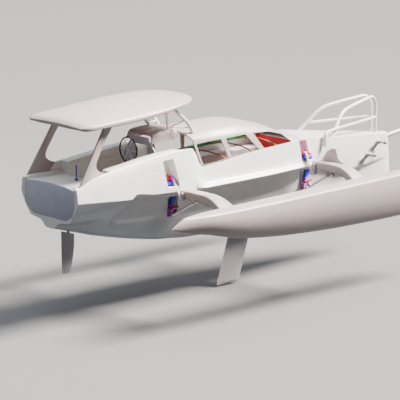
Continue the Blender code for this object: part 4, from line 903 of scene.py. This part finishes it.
# Folding struts and their brackets
# Twin bright tubes hold each beam from below; a flat painted link holds it from above.
# The brackets bolted into the hull's slots and pockets are painted in strong colours.
magenta = coat("bracket_magenta", (0.72, 0.05, 0.62), (0.52, 0.03, 0.45), (0.35, 0.5), size=12.0, bump=0.08)
red = coat("bracket_red", (0.75, 0.008, 0.012), (0.55, 0.004, 0.008), (0.35, 0.5), size=12.0, bump=0.08)
dark_red = coat("pin_dark_red", (0.22, 0.004, 0.012), (0.14, 0.002, 0.008), (0.35, 0.5), size=12.0, bump=0.08)
blue = coat("bracket_blue", (0.012, 0.022, 0.60), (0.006, 0.012, 0.42), (0.35, 0.5), size=12.0, bump=0.08)
orange = coat("line_orange", (0.60, 0.13, 0.02), (0.42, 0.08, 0.01), (0.5, 0.65), size=30.0, grain=500.0, bump=0.3)
FORK_LUG = [(0.7003, 0.36), (0.80, 0.36), (0.86, 0.40), (0.80, 0.50), (0.7003, 0.56)]
# How far each upper fork reaches aft and forward of its link, and where its red block ends
FORK = {"aft": (0.27, 0.095, 0.09), "forward": (0.10, 0.22, 0.048)}
LINE = [(8.80, 0.83, 2.02), (8.86, 0.90, 1.86), (8.88, 1.00, 1.66), (8.95, 0.96, 1.60)]


def bar_2d(start, end, half):
    """Outline of a flat bar between two pins, its ends rounded."""
    a, b = Vector(start), Vector(end)
    heading = math.atan2(b.y - a.y, b.x - a.x)
    return [(c.x + half * math.cos(first + math.pi * k / 8), c.y + half * math.sin(first + math.pi * k / 8))
            for c, first in ((b, heading - math.pi / 2), (a, heading + math.pi / 2)) for k in range(9)]


def turned_pin(label, points, radius, finish, sides, edge):
    """A short round piece with eased ends."""
    return soften(swept(label, on_side(s, points), radius, finish, sides=sides), edge)


def chock(label, x_low, x_high, z_low, z_high, reach, finish):
    """A painted block on the slot's floor, from the inner wall out to a y."""
    y0, y1 = between(s, inner + 0.001, reach)
    return soften(block(label, (x_low, y0, z_low), (x_high, y1, z_high), finish), 0.007)


for name, aft_x, chord, top_z, upper_x, lower_x in BEAMS:
    inner = SLOTS[name][1]
    back, ahead, red_end = FORK[name]
    for side, s in SIDES:
        strut = [turned_pin("eye", [(lower_x - 0.10, y, z), (lower_x + 0.10, y, z)], 0.034, bright_metal, 24, 0.006)
                 for y, z in LOWER_PINS]
        for x in (lower_x - 0.055, lower_x + 0.055):
            strut.append(swept("leg", on_side(s, [(x, 0.90, 0.431), (x, 1.78, 0.919)]), 0.024, bright_metal,
                               sides=18))
            strut.append(turned_pin("collar", [(x, 0.97, 0.470), (x, 1.05, 0.514)], 0.031, bright_metal, 18, 0.004))
        stand_for(gather(f"twin_strut_{name}_{side}", *strut), f"lower_strut_{name}_{side}",
                  f"lower_struts_{side}")
        link = plate(f"upper_link_{name}_{side}", flipped(s, bar_2d(*UPPER_PINS, 0.034)), "x", upper_x - 0.021,
                     upper_x + 0.021, gelcoat, edge=0.006)
        stand_for(link, f"upper_strut_{name}_{side}", f"upper_struts_{side}")

        y0, y1 = between(s, 0.74, 0.80)
        wall0, wall1 = between(s, 0.7003, 0.712)
        low = [plate("lug", flipped(s, FORK_LUG), "x", lower_x + x0, lower_x + x1, magenta, radius=0.02, edge=0.004)
               for x0, x1 in ((-0.15, -0.108), (0.108, 0.15))]
        low += [
            turned_pin("foot", [(lower_x - 0.02, 0.701, 0.40), (lower_x - 0.02, 0.80, 0.40)], 0.055, magenta, 24,
                       0.008),
            turned_pin("eye", [(lower_x, 0.701, 0.62), (lower_x, 0.83, 0.62)], 0.095, magenta, 32, 0.015),
            turned_pin("cross_pin", [(lower_x - 0.16, 0.86, 0.62), (lower_x + 0.16, 0.86, 0.62)], 0.030, dark_red, 20,
                       0.006),
            plate("blue_link", [(lower_x + 0.15, 0.925), (lower_x - 0.04, 0.925), (lower_x - 0.10, 0.70),
                                (lower_x + 0.02, 0.70)], "y", y0, y1, blue, radius=0.01, edge=0.006),
            # The backing plate's grey is painted shade: a thin sheet on the pocket's inner wall, coloured as that
            # wall looks in shade.
            plate("backing", [(lower_x - 0.182, 0.348), (lower_x + 0.182, 0.348), (lower_x + 0.182, 0.922),
                              (lower_x - 0.182, 0.922)], "y", wall0, wall1, grey_paint_and_painted_shade, radius=0.01)]
        stand_for(gather(f"lower_fork_{name}_{side}", *low), f"lower_bracket_{name}_{side}", "hull")

        x0, x1 = upper_x - back, upper_x + ahead
        high = [
            chock("red_block", x0, upper_x - red_end, 1.462, 1.60, 1.03, red),
            chock("blue_bar", x0 + 0.02, upper_x - 0.048, 1.372, 1.461, 1.10, blue),
            chock("blue_end", upper_x + 0.048, x1, 1.342, 1.411, 1.13, blue),
            chock("magenta_end", upper_x + 0.048, x1 - 0.01, 1.412, 1.471, 1.12, magenta),
            chock("red_end", x1 - 0.045, x1 - 0.012, 1.472, 1.515, 1.10, red),
            turned_pin("magenta_pin", [(upper_x - 0.08, 1.05, 1.55), (upper_x - 0.027, 1.05, 1.55)], 0.040, magenta,
                       24, 0.006)]
        cheek = flipped(s, [(inner + 0.001, 1.39), (1.09, 1.51), (1.09, 1.575), (inner + 0.001, 1.58)])
        high += [plate("cheek", cheek, "x", upper_x + edge, upper_x + edge + 0.020, magenta, radius=0.02, edge=0.004)
                 for edge in (-0.046, 0.026)]
        if name == "forward":
            high.append(swept("orange_line", route(on_side(s, LINE), 0.12), 0.014, orange, sides=12))
        stand_for(gather(f"upper_fork_{name}_{side}", *high), f"upper_bracket_{name}_{side}", "hull")
